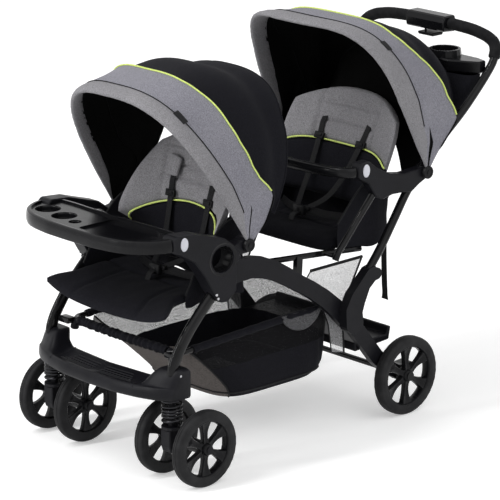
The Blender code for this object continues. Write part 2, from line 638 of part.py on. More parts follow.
def seat_rail(side):
    """Rail that carries both seats, with a post down to the arch rail."""
    name = side_name(side)
    bend = RAIL_RADIUS + 0.0005
    start = ARCH_INNER_X - SEAT_GAP
    front_y = -0.300
    route = [(side * start, front_y, 0.562)]
    for i in range(5):
        a = math.radians(-90 - 90 * i / 4)
        route.append((side * (RAIL_X + bend + bend * math.cos(a)), front_y + bend + bend * math.sin(a), 0.562))
    route += [(side * RAIL_X, -0.180, 0.557), (side * RAIL_X, -0.092, 0.551), (side * RAIL_X, 0.080, 0.536),
              (side * RAIL_X, 0.262, 0.519)]
    rail = sweep("seat_rail_" + name, route, RAIL_RADIUS, RAIL_RADIUS, "black_tube", across=(0, 0, 1))
    post = [(-0.004, 0.462), (0.018, 0.450), (0.024, 0.545), (0.002, 0.547)]
    boolean(rail, side_plate("add_post_" + name, post, RAIL_X - 0.004, start, side, "black_tube"), "UNION")
    stop = rod("add_stop_" + name, [(side * RAIL_X, 0.005), (side * (TUBE_X - TUBE_RADIUS * 0.8 - SEAT_GAP * 2), 0.005)],
               (0.0, 0.116, 0.5325), "X", "black_tube", 10)
    boolean(rail, stop, "UNION")


def grid_solid(name, outer, inner, finish, origin=(0.0, 0.0, 0.0), smooth=50.0):
    """Closes two grids of points, one over the other, into one skin."""
    bm = bmesh.new()
    sheets = [[[bm.verts.new(p) for p in row] for row in sheet] for sheet in (outer, inner)]
    rows, cols = len(outer), len(outer[0])
    for sheet in sheets:
        for i in range(rows - 1):
            for j in range(cols - 1):
                bm.faces.new((sheet[i][j], sheet[i][j + 1], sheet[i + 1][j + 1], sheet[i + 1][j]))
    top, bottom = sheets
    edge = [(0, j) for j in range(cols)] + [(i, cols - 1) for i in range(1, rows)]
    edge += [(rows - 1, j) for j in range(cols - 2, -1, -1)] + [(i, 0) for i in range(rows - 2, 0, -1)]
    for (i, j), (k, l) in zip(edge, edge[1:] + edge[:1]):
        bm.faces.new((top[i][j], top[k][l], bottom[k][l], bottom[i][j]))
    return finish_mesh(name, bm, finish, origin, smooth)


def blend_table(table, u):
    """Reads a table of (u, value) pairs, straight between its entries."""
    for (u0, v0), (u1, v1) in zip(table, table[1:]):
        if u <= u1:
            return v0 + (v1 - v0) * (u - u0) / (u1 - u0)
    return table[-1][1]


def no_skin(s, u):
    return 0.0


def thin_skin(s, u):
    return CANOPY_SKIN


def rim_then_skin(s, u):
    """Thick padded rim along the opening that thins out towards the pivots, thin skin behind it."""
    share = min(max((0.97 - u) / 0.12, 0.0), 1.0)
    thick = RIM_THICKNESS * (1.0 if s < 0.01 else 0.8)
    return CANOPY_SKIN + (thick - CANOPY_SKIN) * share if s < 0.25 else CANOPY_SKIN


def hood_grid(pivot, half, crown, power, first, last, lowest, columns, rows, inset):
    """Points of a canopy panel swept about its pivot line.

    crown gives the hoop's height against its angle; first and last give the angles of the
    panel's two edges against u, which is 0 at the top and 1 at the pivot.
    """
    grid = []
    for i in range(rows + 1):
        line = []
        for j in range(columns + 1):
            s = 2 * j / columns - 1
            u = abs(s) * lowest
            angle = blend_table(first, u) + (blend_table(last, u) - blend_table(first, u)) * i / rows
            lean = math.radians(90 * (1 - u))
            shell = inset(i / rows, u)
            x = math.copysign((half - shell) * math.cos(lean) ** (2 / power), s) if u > 0 else 0.0
            r = (blend_table(crown, angle) - shell) * math.sin(lean) ** (2 / power)
            a = math.radians(angle)
            line.append((x, pivot[0] + r * math.cos(a), pivot[1] + r * math.sin(a)))
        grid.append(line)
    return grid


def canopy(name, pivot, half, crown, power, first, last, lowest, columns, rows, thickness, finish, origin):
    outer = hood_grid(pivot, half, crown, power, first, last, lowest, columns, rows, no_skin)
    inner = hood_grid(pivot, half, crown, power, first, last, lowest, columns, rows, thickness)
    return grid_solid(name, outer, inner, finish, origin)


def canopies():
    py, pz = FRONT_CANOPY_PIVOT
    crown = [(-10, 0.470), (60, 0.482), (85, 0.489), (106, 0.494), (115, 0.491), (121, 0.497)]
    rim = [(0, 120.5), (1, 120.5)]
    seam = [(0, 106), (0.30, 105), (0.50, 102), (0.60, 99.5), (0.70, 96), (0.80, 88), (0.86, 78), (0.90, 45), (1, 12)]
    rear = [(0, 67), (0.50, 61), (0.70, 52), (0.80, 46), (0.87, 41), (1, 20)]
    front = canopy("front_canopy", FRONT_CANOPY_PIVOT, FRONT_CANOPY_HALF, crown, 2.9, rim, seam, 0.9996, 22, 5,
                   rim_then_skin, "grey_fabric", (0.0, py, pz))
    tuck = CANOPY_SKIN + PANEL_GAP
    under = [(a, r - tuck) for a, r in crown]
    tucked = [(u, a + 1.0) for u, a in seam]
    canopy("front_canopy_rear", FRONT_CANOPY_PIVOT, FRONT_CANOPY_HALF - tuck, under, 2.9,
           tucked, rear, 0.9996 * 10 / 11, 20, 4, thin_skin, "black_fabric", (0.0, py, pz))
    ry, rz = REAR_CANOPY_PIVOT
    rear_crown = [(20, 0.430), (97, 0.440), (110, 0.482), (118, 0.492)]
    rear_rim = [(0, 118), (1, 114)]
    rear_seam = [(0, 97), (0.40, 97), (0.55, 91), (0.66, 82), (0.74, 72), (0.80, 60), (0.86, 36), (1, 30)]
    back = canopy("rear_canopy", REAR_CANOPY_PIVOT, REAR_CANOPY_HALF, rear_crown, 4.0, rear_rim, rear_seam,
                  0.9996, 22, 5, rim_then_skin, "grey_fabric", (0.0, ry, rz))
    rear_under = [(20, 0.24), (60, 0.350)] + [(a, r - tuck) for a, r in rear_crown[1:]]
    rear_tucked = [(u, a + 0.3) for u, a in rear_seam]
    rear_end = [(0, 62), (0.50, 54), (0.80, 38), (1, 24)]
    canopy("rear_canopy_rear", REAR_CANOPY_PIVOT, REAR_PANEL_HALF, rear_under, 4.0, rear_tucked,
           rear_end, 0.9996 * 10 / 11, 20, 4, thin_skin, "black_fabric", (0.0, FOLD_PIVOT[0], FOLD_PIVOT[1]))
    for hood, pivot, inner, half, label in (
            (front, FRONT_CANOPY_PIVOT, HUB_LUG_X + RUN_GAP, FRONT_CANOPY_HALF, "front"),
            (back, REAR_CANOPY_PIVOT, ARMREST_OUTER_X + RUN_GAP, REAR_CANOPY_HALF, "rear")):
        for side in (1, -1):
            disc = rod("add_disc_" + label + "_" + side_name(side),
                       [(side * inner, CANOPY_DISC_RADIUS), (side * (half + 0.004), CANOPY_DISC_RADIUS * 0.9)],
                       (0.0, pivot[0], pivot[1]), "X", "grey_fabric", 12)
            boolean(hood, disc, "UNION")


def pad(name, columns, rows, place, thickness, finish, origin=(0.0, 0.0, 0.0)):
    """A cushion: place(s, t) gives the middle of the face and its direction, s and t run from -1 to 1."""
    front, back = [], []
    for i in range(rows + 1):
        t = 2 * i / rows - 1
        line_front, line_back = [], []
        for j in range(columns + 1):
            s = 2 * j / columns - 1
            point, normal = place(s, t)
            edge = (1 - abs(s) ** 6) * (1 - abs(t) ** 6)
            depth = thickness * (0.30 + 0.70 * edge ** 0.5)
            groove = 1.0 - 0.22 * math.exp(-((abs(s) - 0.36) / 0.06) ** 2) * edge
            point, normal = Vector(point), Vector(normal).normalized()
            line_front.append(point + normal * depth * groove * 0.5)
            line_back.append(point - normal * thickness * (0.30 + 0.20 * edge ** 0.5))
        front.append(line_front)
        back.append(line_back)
    return grid_solid(name, front, back, finish, origin)


def add_pins(back, centre, reach, finish):
    """Hinge pins at the two lower corners of a seat back, out to the frame."""
    for side in (1, -1):
        pin = rod("add_" + back.name + "_" + side_name(side),
                  [(side * (SEAT_HALF_WIDTH - 0.020), SEAT_PIN_RADIUS), (side * reach, SEAT_PIN_RADIUS)],
                  (0.0, centre[0], centre[1]), "X", finish, 10)
        boolean(back, pin, "UNION")


def seats():
    def front_pan(s, t):
        y = -0.357 - 0.143 * t
        width = SEAT_HALF_WIDTH + (0.0 if abs(y + 0.36) > 0.045 else ARCH_INNER_X - SEAT_GAP - SEAT_HALF_WIDTH)
        droop = 0.022 * max(t, 0.0) ** 2
        rise = 0.020 * abs(s) ** 4
        return (s * width, y, 0.482 - droop + rise), (0, 0, 1)

    pad("front_seat", 12, 10, front_pan, 0.040, "black_fabric")

    low_y, low_z = FRONT_BACK_PIVOT
    back_height = 0.370

    def front_back(s, t):
        z = low_z - 0.036 + (t + 1) / 2 * back_height
        lean = (z - low_z) * 0.18
        top = max(0.0, (z - 0.76) / 0.14)
        width = SEAT_HALF_WIDTH * (1 - 0.38 * min(top, 1.0) ** 2)
        reach = min(max((z - 0.600) / 0.05, 0.0), 1.0)
        wing = 0.105 * abs(s) ** 3 * reach
        y = low_y - 0.002 + lean - wing
        slope = 0.315 * abs(s) ** 2 * reach
        return (s * width, y, z), (-math.copysign(slope, s), -1.0, 0.18)

    back = pad("front_seat_back", 12, 12, front_back, 0.036, "grey_fabric", (0.0, low_y, low_z))
    add_pins(back, FRONT_BACK_PIVOT, RAIL_X - RAIL_RADIUS - SEAT_GAP, "grey_fabric")

    def rear_pan(s, t):
        return (s * (RAIL_X - RAIL_RADIUS - SEAT_GAP), 0.250 + 0.088 * t, 0.542), (0, 0, 1)

    pad("rear_seat", 10, 6, rear_pan, 0.050, "black_fabric")
    rear_y, rear_z = REAR_BACK_PIVOT

    def rear_back(s, t):
        z = rear_z - 0.0145 + (t + 1) / 2 * 0.297
        lean = (z - rear_z) * 0.45
        top = max(0.0, (z - 0.79) / 0.12)
        width = SEAT_HALF_WIDTH * (1 - 0.34 * min(top, 1.0) ** 2)
        return (s * width, rear_y - 0.002 + lean, z), (0.0, -1.0, 0.45)

    back = pad("rear_seat_back", 12, 10, rear_back, 0.040, "grey_fabric", (0.0, rear_y, rear_z))
    add_pins(back, REAR_BACK_PIVOT, TUBE_X - TUBE_RADIUS - BORE_GAP, "grey_fabric")


def child_tray():
    """Front child tray with two cup wells and a small well, held between the two hubs."""
    arm = ARCH_INNER_X - SEAT_GAP
    front = TRAY_BUTTON[0] - 0.036 - SEAT_GAP * 3
    half = [(0.0, -0.636), (0.110, -0.632), (0.185, -0.617), (0.240, -0.586), (0.274, -0.545), (0.284, front),
            (0.284, -0.447), (0.190, -0.443), (0.0, -0.450)]
    outline = half + [(-px, py) for px, py in half[-2:0:-1]]
    tray = flat_plate("child_tray", outline, TRAY_TOP - TRAY_THICKNESS, TRAY_TOP, "black_plastic",
                      (0.0, front, TRAY_TOP))
    soften(tray, 0.006)
    for side in (1, -1):
        notch = [(side * arm, front), (side * (HUB_OUTER_X + 0.01), front), (side * (HUB_OUTER_X + 0.01), -0.40),
                 (side * arm, -0.40)]
        boolean(tray, flat_plate("cut_notch_" + side_name(side), notch, TRAY_TOP - TRAY_THICKNESS - 0.01,
                                 TRAY_TOP + 0.01, "black_plastic"), "DIFFERENCE")
    wells = [(-0.205, -0.535, CUP_RADIUS), (-0.118, -0.548, CUP_RADIUS), (-0.050, -0.566, 0.018)]
    for i, (x, y, radius) in enumerate(wells):
        well = rod("cut_well_" + str(i), [(TRAY_TOP - CUP_DEPTH, radius * 0.9), (TRAY_TOP + 0.01, radius)],
                   (x, y, 0.0), "Z", "black_plastic", 16)
        boolean(tray, well, "DIFFERENCE")
    dish = [(0.0, -0.470), (0.0, -0.600), (0.130, -0.596), (0.205, -0.560), (0.222, -0.500), (0.190, -0.466)]
    boolean(tray, flat_plate("cut_dish", dish, TRAY_TOP - 0.012, TRAY_TOP + 0.01, "black_plastic"), "DIFFERENCE")


def parent_tray():
    """Parent tray between the handle tubes, with a raised cup ring at each end, and its pocket."""
    pivot = (0.0, FOLD_PIVOT[0], FOLD_PIVOT[1])
    low, high = 0.968, 1.004
    ear = TUBE_X - TUBE_RADIUS - SEAT_GAP * 2
    half = [(0.0, 0.668), (0.180, 0.668), (0.225, 0.690), (ear, 0.712), (ear, 0.742), (0.222, 0.755), (0.0, 0.762)]
    outline = half + [(-px, py) for px, py in half[-2:0:-1]]
    tray = flat_plate("parent_tray", outline, low, high, "black_plastic", pivot)
    soften(tray, 0.004)
    for side in (1, -1):
        name = side_name(side)
        x, y = side * 0.125, 0.714
        ring = rod("add_cup_" + name, [(high - 0.006, 0.050), (high + 0.020, 0.047)], (x, y, 0.0), "Z",
                   "black_plastic", 16)
        boolean(tray, ring, "UNION")
        well = rod("cut_cup_" + name, [(low + 0.004, 0.036), (high + 0.030, 0.041)], (x, y, 0.0), "Z",
                   "black_plastic", 16)
        boolean(tray, well, "DIFFERENCE")
    dish = [(-0.058, 0.684), (0.058, 0.684), (0.058, 0.746), (-0.058, 0.746)]
    boolean(tray, flat_plate("cut_parent_dish", dish, low + 0.010, high + 0.01, "black_plastic"), "DIFFERENCE")
    tub("tray_pocket", [(0.842, 0.165, 0.655, 0.715), (0.900, 0.195, 0.655, 0.735),
                        (low - SEAT_GAP, 0.205, 0.672, 0.750)], 0.004, "black_fabric", pivot)


def tub(name, levels, wall, finish, origin=(0.0, 0.0, 0.0), rise=None, corner=0.25):
    """An open bag: levels are (z, half width, front y, back y) from the bottom up."""
    def ring(level, shrink, lift):
        z, half, front, back = level
        middle, depth = (front + back) / 2, (back - front) / 2 - shrink
        points = []
        for i in range(24):
            a = 2 * math.pi * i / 24
            c, s = math.cos(a), math.sin(a)
            x = math.copysign((half - shrink) * abs(c) ** (2 * corner), c)
            y = middle + math.copysign(depth * abs(s) ** (2 * corner), s)
            points.append((x, y, z + lift + (rise(y) if rise and level is levels[-1] else 0.0)))
        return points

    bm = bmesh.new()
    loops = [ring(level, 0.0, 0.0) for level in levels]
    loops += [ring(level, wall, wall if i == len(levels) - 1 else 0.0) for i, level in enumerate(levels[::-1])]
    rings = [[bm.verts.new(p) for p in loop] for loop in loops]
    for one, two in zip(rings, rings[1:]):
        for k in range(24):
            bm.faces.new((one[k], one[(k + 1) % 24], two[(k + 1) % 24], two[k]))
    bm.faces.new(rings[0])
    bm.faces.new(rings[-1])
    return finish_mesh(name, bm, finish, origin, 50)


def basket():
    """Fabric basket on its U-shaped frame tube, with a lug from each front corner to the leg."""
    rail_x = ARCH_INNER_X - 0.014
    frame_z = 0.372
    front_z = 0.356
    front_y = -0.437
    bend = 0.0125
    corner = 0.030
    end_y = 0.120
    half = [(ARCH_INNER_X - SEAT_GAP, end_y, frame_z)]
    for i in range(5):
        a = math.radians(90 + 90 * i / 4)
        half.append((rail_x + bend + bend * math.cos(a), end_y - bend + bend * math.sin(a), frame_z))
    half += [(rail_x, -0.050, 0.370), (rail_x, -0.240, 0.363)]
    for i in range(4):
        a = math.radians(-90 * i / 3)
        half.append((rail_x - corner + corner * math.cos(a), front_y + corner + corner * math.sin(a), front_z))
    half += [(0.0, front_y - 0.006, front_z)]
    full = half + [(-px, py, pz) for px, py, pz in half[-2::-1]]
    frame = sweep("basket_frame", full, BASKET_TUBE_RADIUS, BASKET_TUBE_RADIUS, "black_tube", sides=6,
                  across=(0, 0, 1))
    leg_face = LEG_X - LEG_SIDE_HALF - SEAT_GAP
    for side in (1, -1):
        lug = [(rail_x - 0.020, front_y - 0.004), (rail_x - 0.006, front_y - 0.030), (leg_face, front_y - 0.034),
               (leg_face, front_y - 0.012), (rail_x - 0.004, front_y + 0.006)]
        lug = [(side * px, py) for px, py in lug]
        boolean(frame, flat_plate("add_lug_" + side_name(side), lug, front_z - 0.007, front_z + 0.007,
                                  "black_tube"), "UNION")
    inner = rail_x - BASKET_TUBE_RADIUS * math.cos(math.pi / 6) - SEAT_GAP
    front = front_y + BASKET_TUBE_RADIUS * math.cos(math.pi / 6) + SEAT_GAP

    def rim_rise(y):
        return (frame_z - front_z) * min(max((y - front_y - 0.03) / 0.30, 0.0), 1.0)

    tub("basket", [(0.152, 0.175, -0.206, 0.180), (0.185, 0.200, -0.245, 0.205), (front_z, inner, front, 0.214)],
        BASKET_WALL, "mesh_fabric", rise=rim_rise)


def rear_end():
    """Rear axle, both rear wheels, the brake pedals and the standing platform."""
    ay, az = REAR_AXLE
    hub_out = 0.0200
    wheel_x = ARCH_OUTER_X + 0.0225
    cap_x = wheel_x + hub_out + SEAT_GAP
    cap = REAR_AXLE_RADIUS * 1.6
    profile = [(-cap_x - AXLE_CAP, cap), (-cap_x, cap), (-cap_x, REAR_AXLE_RADIUS), (cap_x, REAR_AXLE_RADIUS),
               (cap_x, cap), (cap_x + AXLE_CAP, cap)]
    rod("rear_axle", profile, (0.0, ay, az), "X", "steel", 16)
    for side in (1, -1):
        name = side_name(side)
        wheel("rear_" + name, side * wheel_x, ay, REAR_WHEEL_RADIUS, REAR_WHEEL_WIDTH, REAR_AXLE_RADIUS, 24,
              side, ARCH_OUTER_X + RUN_GAP - wheel_x, hub_out)
        outline = arc((ay, az), 0.019, 70, 290, 10) + [(ay + 0.040, az - 0.008), (ay + 0.072, az + 0.004),
                                                      (ay + 0.074, az + 0.014), (ay + 0.040, az + 0.012)]
        pedal = side_plate("brake_pedal_" + name, outline, ARCH_INNER_X - 0.042, ARCH_INNER_X - RUN_GAP, side,
                           "black_plastic", (0.0, ay, az))
        hole = rod("cut_pedal_" + name, [(side * (ARCH_INNER_X - 0.060), REAR_AXLE_RADIUS + BORE_GAP),
                                         (side * (ARCH_INNER_X + 0.005), REAR_AXLE_RADIUS + BORE_GAP)],
                   (0.0, ay, az), "X", "black_plastic", 16)
        boolean(pedal, hole, "DIFFERENCE")
    step = [(0.236, 0.214), (0.376, 0.222), (0.384, 0.262), (0.372, 0.262), (0.366, 0.240), (0.236, 0.240)]
    half = ARCH_INNER_X - SEAT_GAP
    board = side_plate("standing_platform", step, -half, half, 1, "black_plastic")
    soften(board, 0.003)


def recline_strap():
    """Webbing that hangs behind the rear seat back, with a flared end."""
    x = 0.186
    y = REAR_BACK_PIVOT[0] + 0.0204
    top = REAR_BACK_PIVOT[1] + 0.006
    points = [(y, top, 0.010), (y + 0.007, top - 0.014, 0.010), (y + 0.012, top - 0.040, 0.010),
              (y + 0.014, top - 0.070, 0.010), (y + 0.015, 0.460, 0.010), (y + 0.018, 0.380, 0.010),
              (y + 0.020, 0.350, 0.012), (y + 0.021, 0.326, 0.020)]
    front, back = [], []
    for py, pz, half in points:
        front.append([(x - half, py - 0.001, pz), (x + half, py - 0.001, pz)])
        back.append([(x - half, py + 0.001, pz), (x + half, py + 0.001, pz)])
    grid_solid("recline_strap", front, back, "black_fabric", (0.0, REAR_BACK_PIVOT[0], REAR_BACK_PIVOT[1]))


def stand_on_middle():
    """Moves everything along Y so that the origin lies under the middle of the stroller."""
    graph = bpy.context.evaluated_depsgraph_get()
    ends = []
    for obj in bpy.data.objects:
        if obj.display_type == "WIRE":
            continue
        shape = obj.evaluated_get(graph)
        ends += [(obj.matrix_world @ v.co).y for v in shape.to_mesh().vertices]
        shape.to_mesh_clear()
    shift = -(min(ends) + max(ends)) / 2
    for obj in bpy.data.objects:
        obj.location.y += shift
    print("everything moved along Y by", round(shift, 5))


def build():
    clear_scene()
    footrest()
    for side in (1, -1):
        caster(side)
        leg_tube("front_leg_" + side_name(side), side)
        front_hub(side)
        oval("tray_button_" + side_name(side), TRAY_BUTTON, side, HUB_OUTER_X)
        arch_rail(side)
        rear_upright(side)
        seat_tube(side)
        rear_armrest(side)
        seat_rail(side)
    rear_end()
    handle()
    grab_bar()
    parent_tray()
    child_tray()
    seats()
    canopies()
    basket()
    recline_strap()
    bpy.context.view_layer.update()
    stand_on_middle()


build()
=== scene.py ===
import math

import bmesh
import bpy
import numpy as np
from mathutils import Matrix, Vector, noise


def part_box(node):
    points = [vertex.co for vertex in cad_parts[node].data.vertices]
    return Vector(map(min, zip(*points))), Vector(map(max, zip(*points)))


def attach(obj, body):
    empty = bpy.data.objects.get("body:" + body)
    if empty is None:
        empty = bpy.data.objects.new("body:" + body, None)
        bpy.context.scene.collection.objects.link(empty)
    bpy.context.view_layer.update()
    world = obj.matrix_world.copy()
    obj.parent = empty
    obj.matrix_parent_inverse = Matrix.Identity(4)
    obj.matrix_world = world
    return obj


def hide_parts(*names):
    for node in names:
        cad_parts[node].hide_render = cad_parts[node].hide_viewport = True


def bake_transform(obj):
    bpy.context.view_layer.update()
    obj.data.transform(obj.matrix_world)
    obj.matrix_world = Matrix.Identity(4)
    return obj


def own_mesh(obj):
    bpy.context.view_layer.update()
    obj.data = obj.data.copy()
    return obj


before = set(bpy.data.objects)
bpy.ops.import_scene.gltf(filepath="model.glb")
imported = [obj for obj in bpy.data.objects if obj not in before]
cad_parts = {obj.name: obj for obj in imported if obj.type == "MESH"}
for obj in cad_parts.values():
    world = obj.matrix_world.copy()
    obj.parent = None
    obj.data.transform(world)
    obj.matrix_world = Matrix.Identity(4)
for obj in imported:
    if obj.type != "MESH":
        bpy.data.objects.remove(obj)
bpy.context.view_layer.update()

# Points in this script are in the stroller's own measure, whose rear axle lies at y 0.400.
lowAxle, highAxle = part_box("rear_axle")
yShift = (lowAxle.y + highAxle.y) / 2 - 0.400
sides = {"left": 1, "right": -1}


def setPoint(x, y, z):
    return Vector((x, y + yShift, z))


# Camera
photo = {"azimuth": 46.994, "elevation": 16.2076, "distance": 8.5, "lens": 213.04,
         "aim": (0.0191, 0.0254, 0.5164)}


def setCamera():
    a, e = math.radians(photo["azimuth"]), math.radians(photo["elevation"])
    back = Vector((math.sin(a) * math.cos(e), -math.cos(a) * math.cos(e), math.sin(e)))
    data = bpy.data.cameras.new("photoCamera")
    data.lens = photo["lens"]
    data.sensor_width = 36
    data.clip_end = 100
    camera = bpy.data.objects.new("photoCamera", data)
    bpy.context.scene.collection.objects.link(camera)
    camera.location = setPoint(*photo["aim"]) + back * photo["distance"]
    camera.rotation_mode = "QUATERNION"
    camera.rotation_quaternion = (-back).to_track_quat("-Z", "Y")
    bpy.context.scene.camera = camera


# Studio: white floor and surroundings, a long strip lamp in front and a wide fill lamp
studio = {"worldStrength": 0.60, "floorTone": 0.90, "floorGlow": 0.34,
          "strip": {"from": (-1.58, -6.10, 5.40), "size": (0.40, 8.5), "power": 420},
          "fill": {"towards": (0.85, 0.10, 0.75), "strength": 0.65, "angle": 60}}


def setStudio():
    scene = bpy.context.scene
    scene.view_settings.view_transform = "Standard"
    world = bpy.data.worlds.new("studioWhite")
    scene.world = world
    world.use_nodes = True
    tree = world.node_tree
    tree.nodes.clear()
    seen = addNode(tree, "ShaderNodeLightPath")
    either = addEither(tree, seen)
    white = addNode(tree, "ShaderNodeBackground", {"Color": (1, 1, 1, 1), "Strength": 1.0})
    plain = addNode(tree, "ShaderNodeBackground", {"Color": (1, 1, 1, 1),
                                                   "Strength": studio["worldStrength"]})
    mix = addNode(tree, "ShaderNodeMixShader")
    out = addNode(tree, "ShaderNodeOutputWorld")
    tree.links.new(either, mix.inputs[0])
    tree.links.new(plain.outputs[0], mix.inputs[1])
    tree.links.new(white.outputs[0], mix.inputs[2])
    tree.links.new(mix.outputs[0], out.inputs[0])

    plan = studio["strip"]
    lamp = bpy.data.lights.new("stripLamp", "AREA")
    lamp.shape = "RECTANGLE"
    lamp.size, lamp.size_y = plan["size"]
    lamp.energy = plan["power"]
    holder = bpy.data.objects.new("stripLamp", lamp)
    holder.location = plan["from"]
    holder.rotation_mode = "QUATERNION"
    holder.rotation_quaternion = (Vector(plan["from"]) - Vector((0, 0, 0.5))).to_track_quat("Z", "Y")
    scene.collection.objects.link(holder)
    plan = studio["fill"]
    lamp = bpy.data.lights.new("fillLamp", "SUN")
    lamp.energy = plan["strength"]
    lamp.angle = math.radians(plan["angle"])
    holder = bpy.data.objects.new("fillLamp", lamp)
    holder.rotation_mode = "QUATERNION"
    holder.rotation_quaternion = Vector(plan["towards"]).to_track_quat("Z", "Y")
    scene.collection.objects.link(holder)

    bm = bmesh.new()
    corners = [bm.verts.new(p) for p in ((-60, -60, 0), (60, -60, 0), (60, 60, 0), (-60, 60, 0))]
    bm.faces.new(corners)
    mesh = bpy.data.meshes.new("studioFloor")
    bm.to_mesh(mesh)
    bm.free()
    floor = bpy.data.objects.new("studioFloor", mesh)
    scene.collection.objects.link(floor)
    finish, tree, shader = startFinish("floorPaper", (studio["floorTone"],) * 3, 0.9)[:3]
    lift = addNode(tree, "ShaderNodeMath", {1: studio["floorGlow"]}, operation="MULTIPLY")
    tree.links.new(addEither(tree, addNode(tree, "ShaderNodeLightPath")), lift.inputs[0])
    shader.inputs["Emission Color"].default_value = (1, 1, 1, 1)
    tree.links.new(lift.outputs[0], shader.inputs["Emission Strength"])
    mesh.materials.append(finish)


# Finishes
def addNode(tree, kind, inputs=None, **settings):
    n = tree.nodes.new(kind)
    for key, value in settings.items():
        setattr(n, key, value)
    for key, value in (inputs or {}).items():
        n.inputs[key].default_value = value
    return n


def addEither(tree, path):
    share = path.outputs["Is Camera Ray"]
    for ray in ("Is Glossy Ray", "Is Transmission Ray"):
        more = addNode(tree, "ShaderNodeMath", operation="MAXIMUM")
        tree.links.new(share, more.inputs[0])
        tree.links.new(path.outputs[ray], more.inputs[1])
        share = more.outputs[0]
    return share


def startFinish(name, colour, roughness, **sockets):
    finish = bpy.data.materials.new(name)
    finish.use_nodes = True
    tree = finish.node_tree
    shader = tree.nodes["Principled BSDF"]
    shader.inputs["Base Color"].default_value = (*colour, 1)
    shader.inputs["Roughness"].default_value = roughness
    for key, value in sockets.items():
        shader.inputs[key.replace("_", " ")].default_value = value
    coords = addNode(tree, "ShaderNodeTexCoord").outputs["Object"]
    return finish, tree, shader, coords


def addNoise(tree, coords, scale, detail=2.0, stretch=(1, 1, 1)):
    mapping = addNode(tree, "ShaderNodeMapping", {"Scale": stretch})
    cloud = addNode(tree, "ShaderNodeTexNoise", {"Scale": scale, "Detail": detail})
    tree.links.new(coords, mapping.inputs["Vector"])
    tree.links.new(mapping.outputs[0], cloud.inputs["Vector"])
    return cloud.outputs["Fac"]


def addRamp(tree, value, stops):
    ramp = addNode(tree, "ShaderNodeValToRGB")
    while len(ramp.color_ramp.elements) < len(stops):
        ramp.color_ramp.elements.new(0.5)
    for element, (place, colour) in zip(ramp.color_ramp.elements, stops):
        element.position = place
        element.color = (*colour, 1)
    tree.links.new(value, ramp.inputs[0])
    return ramp.outputs[0]


def addSpan(tree, value, low, high):
    span = addNode(tree, "ShaderNodeMapRange", {"To Min": low, "To Max": high})
    tree.links.new(value, span.inputs["Value"])
    return span.outputs[0]


def addBump(tree, shader, heights, strength, distance=0.001):
    total = heights[0]
    for other in heights[1:]:
        plus = addNode(tree, "ShaderNodeMath", operation="ADD")
        tree.links.new(total, plus.inputs[0])
        tree.links.new(other, plus.inputs[1])
        total = plus.outputs[0]
    bump = addNode(tree, "ShaderNodeBump", {"Strength": strength, "Distance": distance})
    tree.links.new(total, bump.inputs["Height"])
    tree.links.new(bump.outputs[0], shader.inputs["Normal"])


def addBands(tree, coords, scale, direction, spread=0.6):
    wave = addNode(tree, "ShaderNodeTexWave", {"Scale": scale, "Distortion": spread, "Detail": 1.0,
                                               "Detail Scale": 2.0},
                   wave_type="BANDS", bands_direction=direction)
    tree.links.new(coords, wave.inputs["Vector"])
    return wave.outputs["Fac"]


# Moulded plastic with a fine grain and paler worn edges
def mouldedPlastic(name, tone, roughness, worn=0.05, grain=0.10, shine=0.16):
    finish, tree, shader, coords = startFinish(name, tone, roughness, Specular_IOR_Level=shine)
    edge = addNode(tree, "ShaderNodeNewGeometry").outputs["Pointiness"]
    rubbed = addRamp(tree, edge, [(0.50, (0, 0, 0)), (0.60, (1, 1, 1))])
    patches = addNoise(tree, coords, 60, 3)
    part = addNode(tree, "ShaderNodeMath", operation="MULTIPLY")
    tree.links.new(rubbed, part.inputs[0])
    tree.links.new(patches, part.inputs[1])
    shades = addRamp(tree, addNoise(tree, coords, 14, 2),
                     [(0.3, [c * 0.85 for c in tone]), (0.7, [c * 1.2 for c in tone])])
    mix = addNode(tree, "ShaderNodeMix", data_type="RGBA")
    mix.inputs[7].default_value = (*[min(1, c + worn) for c in tone], 1)
    tree.links.new(part.outputs[0], mix.inputs[0])
    tree.links.new(shades, mix.inputs[6])
    tree.links.new(mix.outputs[2], shader.inputs["Base Color"])
    tree.links.new(addSpan(tree, addNoise(tree, coords, 40, 2), roughness - 0.06, roughness + 0.06),
                   shader.inputs["Roughness"])
    addBump(tree, shader, [addNoise(tree, coords, 900, 2)], grain, 0.0006)
    return finish


# Black gloss enamel on tube, with a faint orange peel
def tubeEnamel():
    finish, tree, shader, coords = startFinish("tubeEnamel", (0.004, 0.004, 0.005), 0.11,
                                               Specular_IOR_Level=0.17)
    shades = addRamp(tree, addNoise(tree, coords, 22, 3), [(0.35, (0.004, 0.004, 0.0045)),
                                                           (0.7, (0.008, 0.008, 0.009))])
    tree.links.new(shades, shader.inputs["Base Color"])
    tree.links.new(addSpan(tree, addNoise(tree, coords, 35, 2), 0.08, 0.15), shader.inputs["Roughness"])
    addBump(tree, shader, [addNoise(tree, coords, 260, 1)], 0.05, 0.0006)
    return finish


def tyreRubber():
    finish, tree, shader, coords = startFinish("tyreRubber", (0.014, 0.014, 0.015), 0.60,
                                               Specular_IOR_Level=0.16)
    dust = addRamp(tree, addNoise(tree, coords, 30, 4), [(0.35, (0.009, 0.009, 0.010)),
                                                         (0.75, (0.022, 0.022, 0.023))])
    tree.links.new(dust, shader.inputs["Base Color"])
    addBump(tree, shader, [addNoise(tree, coords, 700, 3)], 0.25, 0.0008)
    return finish


def bareMetal(name, tone, roughness):
    finish, tree, shader, coords = startFinish(name, tone, roughness, Metallic=0.9)
    tree.links.new(addRamp(tree, addNoise(tree, coords, 50, 3),
                           [(0.3, [c * 0.7 for c in tone]), (0.7, tone)]), shader.inputs["Base Color"])
    addBump(tree, shader, [addNoise(tree, coords, 500, 2, (1, 1, 0.2))], 0.08, 0.0005)
    return finish


